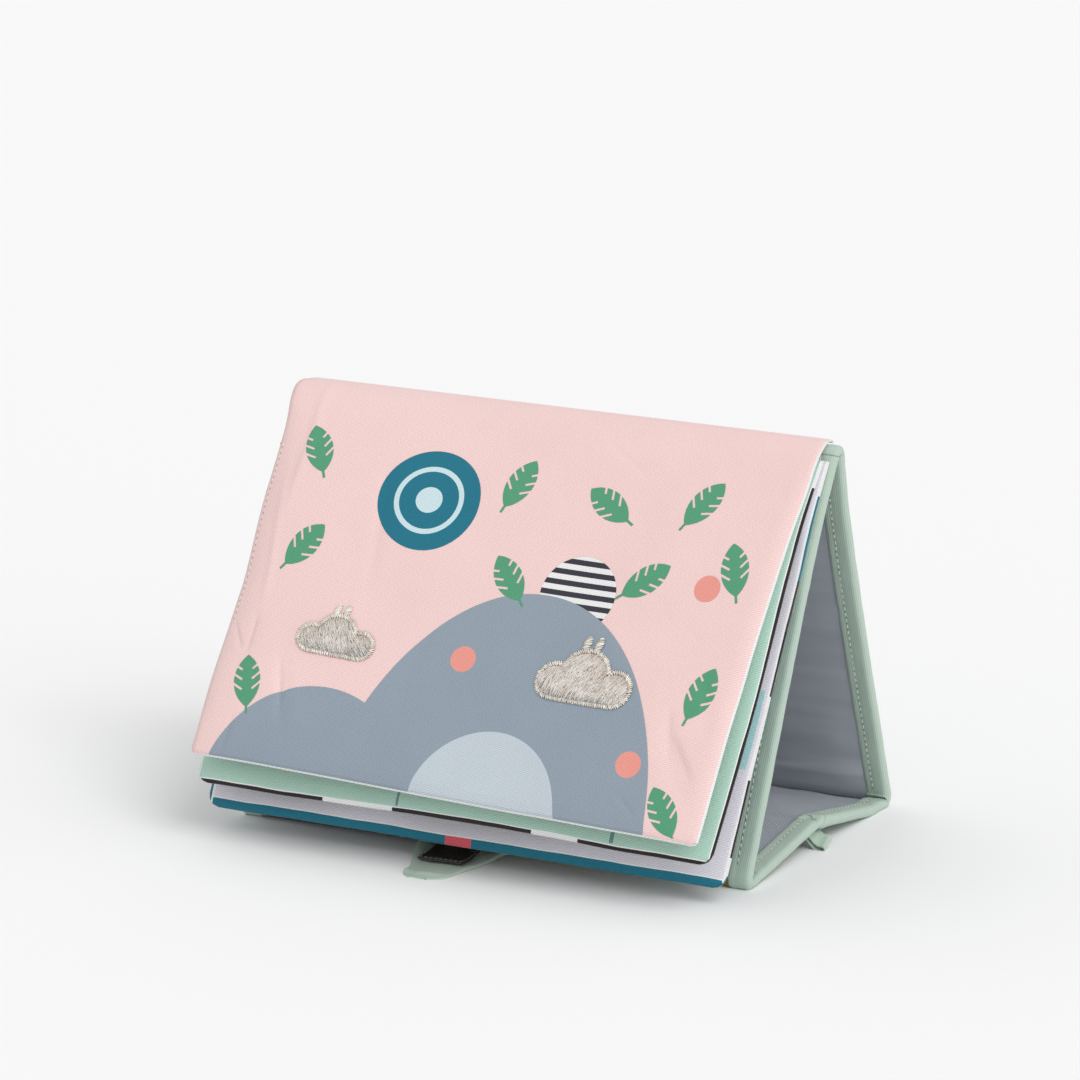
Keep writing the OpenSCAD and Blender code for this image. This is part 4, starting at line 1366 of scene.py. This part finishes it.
def hookMaterial():
    # hook tape: stiff dark nylon, rows of tiny hooks whose tips are painted lighter as points of light
    material, tree, shader = newMaterial("dark_nylon_hook_tape")
    uv = addNode(tree, "ShaderNodeTexCoord").outputs["UV"]
    hooks = addNode(tree, "ShaderNodeTexVoronoi", {"Scale": 1100.0, "Randomness": 0.35}, {"Vector": uv})
    lint = addNode(tree, "ShaderNodeTexNoise", {"Scale": 420.0, "Detail": 3.0}, {"Vector": uv})
    tip = calc(tree, "LESS_THAN", hooks.outputs["Distance"], 0.22)
    tone = mixColour(tree, tip, hexColour("#1f1d1d"), hexColour("#4b4746"))
    tree.links.new(mixColour(tree, calc(tree, "GREATER_THAN", lint.outputs["Fac"], 0.66), tone,
                             hexColour("#6b6663")),
                   shader.inputs["Base Color"])
    bump = addNode(tree, "ShaderNodeBump", {"Strength": 1.0, "Distance": 0.4 * mm, "invert": True},
                   {"Height": hooks.outputs["Distance"]})
    tree.links.new(bump.outputs[0], shader.inputs["Normal"])
    shader.inputs["Roughness"].default_value = 0.42
    return material


def hookShape(a, b):
    # laid on the tab, with its edge turned down
    h, edge = tab["hook"], min(a, b, tab["hook"] - a, tab["hook"] - b)
    u, down = a - h / 2, b + tab["hookGap"]
    lift = tab["thick"] + 0.1 + 1.0 * smooth(edge / 1.1)
    return place(tab["x"] + u, tabRoot - down, 0.6 * tabTop(u, down) + 0.4 * tabTop(0, down) + lift)


hookPatch = clothFromGrid("hookPatch", tab["hook"], tab["hook"], (0.55, 0.55), hookShape, hookMaterial(), 0.5,
                          1.0)
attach(hookPatch, "front")
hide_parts("hook_patch")
corners = [(0.5, 0.5), (0.5, 21.5), (21.5, 21.5), (21.5, 0.5), (0.5, 0.5)]
spots = []
for (a0, b0), (a1, b1) in zip(corners, corners[1:]):
    for k in range(60):
        a, b = a0 + (a1 - a0) * k / 60, b0 + (b1 - b0) * k / 60
        spots.append((hookShape(a, b), Vector((a1 - a0, b0 - b1, 0)), Vector((0, 0, 1))))
hookStitches = stitchAlong("hookStitches", spots, threadMaterial("charcoal_sewing_thread", "#5b5755"),
                           length=1.9, gap=0.35, width=0.7, sink=0.5)
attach(hookStitches, "front")


# Pull tab: tape folded into a loop, caught under the crease at the right end
def pullShape(a, b):
    v, long = a - 5.5, 12.0
    turn = math.pi * 0.75
    if b < long:
        x, lay = 115.4 + b, 0.75
    elif b < long + turn:
        t = (b - long) / 0.75
        x, lay = 115.4 + long + 0.75 * math.sin(t), 0.75 * math.cos(t)
    else:
        x, lay = 115.4 + long - (b - long - turn), -0.75
    t = smooth((x - 117) / 9)
    v *= 1 - 0.3 * t
    twist = 0.5 * t
    z = 7.5 - 5.2 * t + lay * (1 + 0.5 * t)
    return place(x, v * math.cos(twist) - 1.0 * t,
                 max(0.1, z + v * math.sin(twist) + 0.15 * ripple(x, v, 4, 95)))


pullTab = clothFromGrid("pullTab", 11.0, 24.0 + math.pi * 0.75, (0.7, 0.6), pullShape, sageCloth, 0.55, -1.0)
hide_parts("pull_tab")
foldBetween(pullTab)

# Stiffening boards stay as CAD nodes inside the panels
boardStock, tree, shader = newMaterial("grey_pressed_board")
spot = addNode(tree, "ShaderNodeTexCoord").outputs["Object"]
fibre = addNode(tree, "ShaderNodeTexNoise", {"Scale": 700.0, "Detail": 5.0}, {"Vector": spot})
tree.links.new(mixColour(tree, fibre.outputs["Fac"], hexColour("#bdb7a8"), hexColour("#d8d2c5")),
               shader.inputs["Base Color"])
shader.inputs["Roughness"].default_value = 0.85
for name in ("front_board", "back_board"):
    nodes[name].data.materials.clear()
    nodes[name].data.materials.append(boardStock)
print("tabs and boards done")
# Floor, light and camera
studio = {
    "floor": "#f8f8f8", "world": 0.75,
    # strength, direction, softness in degrees
    "keySun": 1.0, "keyFrom": (0.72, -0.42, 0.95), "keySoft": 34,
    "fillSun": 0.45, "fillFrom": (1.0, -0.35, 0.22), "fillSoft": 50,
}


def studioFloor():
    clearSelection()
    bpy.ops.mesh.primitive_plane_add(size=14, location=(0, 0, 0))
    floor = bpy.context.object
    floor.name = "floor"
    material, tree, shader = newMaterial("pale_studio_floor")
    shader.inputs["Roughness"].default_value = 0.9
    shader.inputs["Specular IOR Level"].default_value = 0.1
    shader.inputs["Base Color"].default_value = hexColour(studio["floor"])
    floor.data.materials.append(material)
    return floor


def softSun(name, strength, source, soft):
    clearSelection()
    bpy.ops.object.light_add(type="SUN", location=Vector(source) * 3)
    lamp = bpy.context.object
    lamp.name = name
    lamp.data.energy, lamp.data.angle = strength, math.radians(soft)
    lamp.rotation_mode = "QUATERNION"
    lamp.rotation_quaternion = (-Vector(source)).to_track_quat("-Z", "Y")
    return lamp


studioFloor()
softSun("keyLight", studio["keySun"], studio["keyFrom"], studio["keySoft"])
softSun("fillLight", studio["fillSun"], studio["fillFrom"], studio["fillSoft"])
world = bpy.context.scene.world or bpy.data.worlds.new("studio")
bpy.context.scene.world = world
world.use_nodes = True
tree = world.node_tree
tree.nodes.clear()
rays = addNode(tree, "ShaderNodeLightPath")
around = addNode(tree, "ShaderNodeBackground", {"Color": (0.98, 0.98, 0.985, 1), "Strength": studio["world"]})
seen = addNode(tree, "ShaderNodeBackground", {"Color": hexColour(studio["floor"]), "Strength": 1.0})
direct = calc(tree, "MAXIMUM", rays.outputs["Is Camera Ray"],
              calc(tree, "MAXIMUM", rays.outputs["Is Glossy Ray"], rays.outputs["Is Transmission Ray"]))
both = addNode(tree, "ShaderNodeMixShader", links={0: direct, 1: around.outputs[0], 2: seen.outputs[0]})
addNode(tree, "ShaderNodeOutputWorld", links={"Surface": both.outputs[0]})

# The photograph's view: a long lens from the right, a little above the ridge
view = {"azimuth": 27.03, "elevation": 15.34, "distance": 3312.8, "lens": 249.9, "right": -11.92, "up": 42.69}
a, e = math.radians(view["azimuth"]), math.radians(view["elevation"])
back = Vector((math.sin(a) * math.cos(e), -math.cos(a) * math.cos(e), math.sin(e)))
right = Vector((math.cos(a), math.sin(a), 0))
up = back.cross(right)
target = place(0, 0, 80)
clearSelection()
bpy.ops.object.camera_add(location=target + back * view["distance"] * mm)
camera = bpy.context.object
camera.data.sensor_width, camera.data.lens = 36.0, view["lens"]
camera.data.clip_start, camera.data.clip_end = 0.05, 40
aim = target + (right * view["right"] + up * view["up"]) * mm
camera.rotation_mode = "QUATERNION"
camera.rotation_quaternion = (aim - camera.location).to_track_quat("-Z", "Y")
bpy.context.scene.camera = camera
settings = bpy.context.scene.view_settings
settings.view_transform = "Standard"
print("stage, light and camera set")
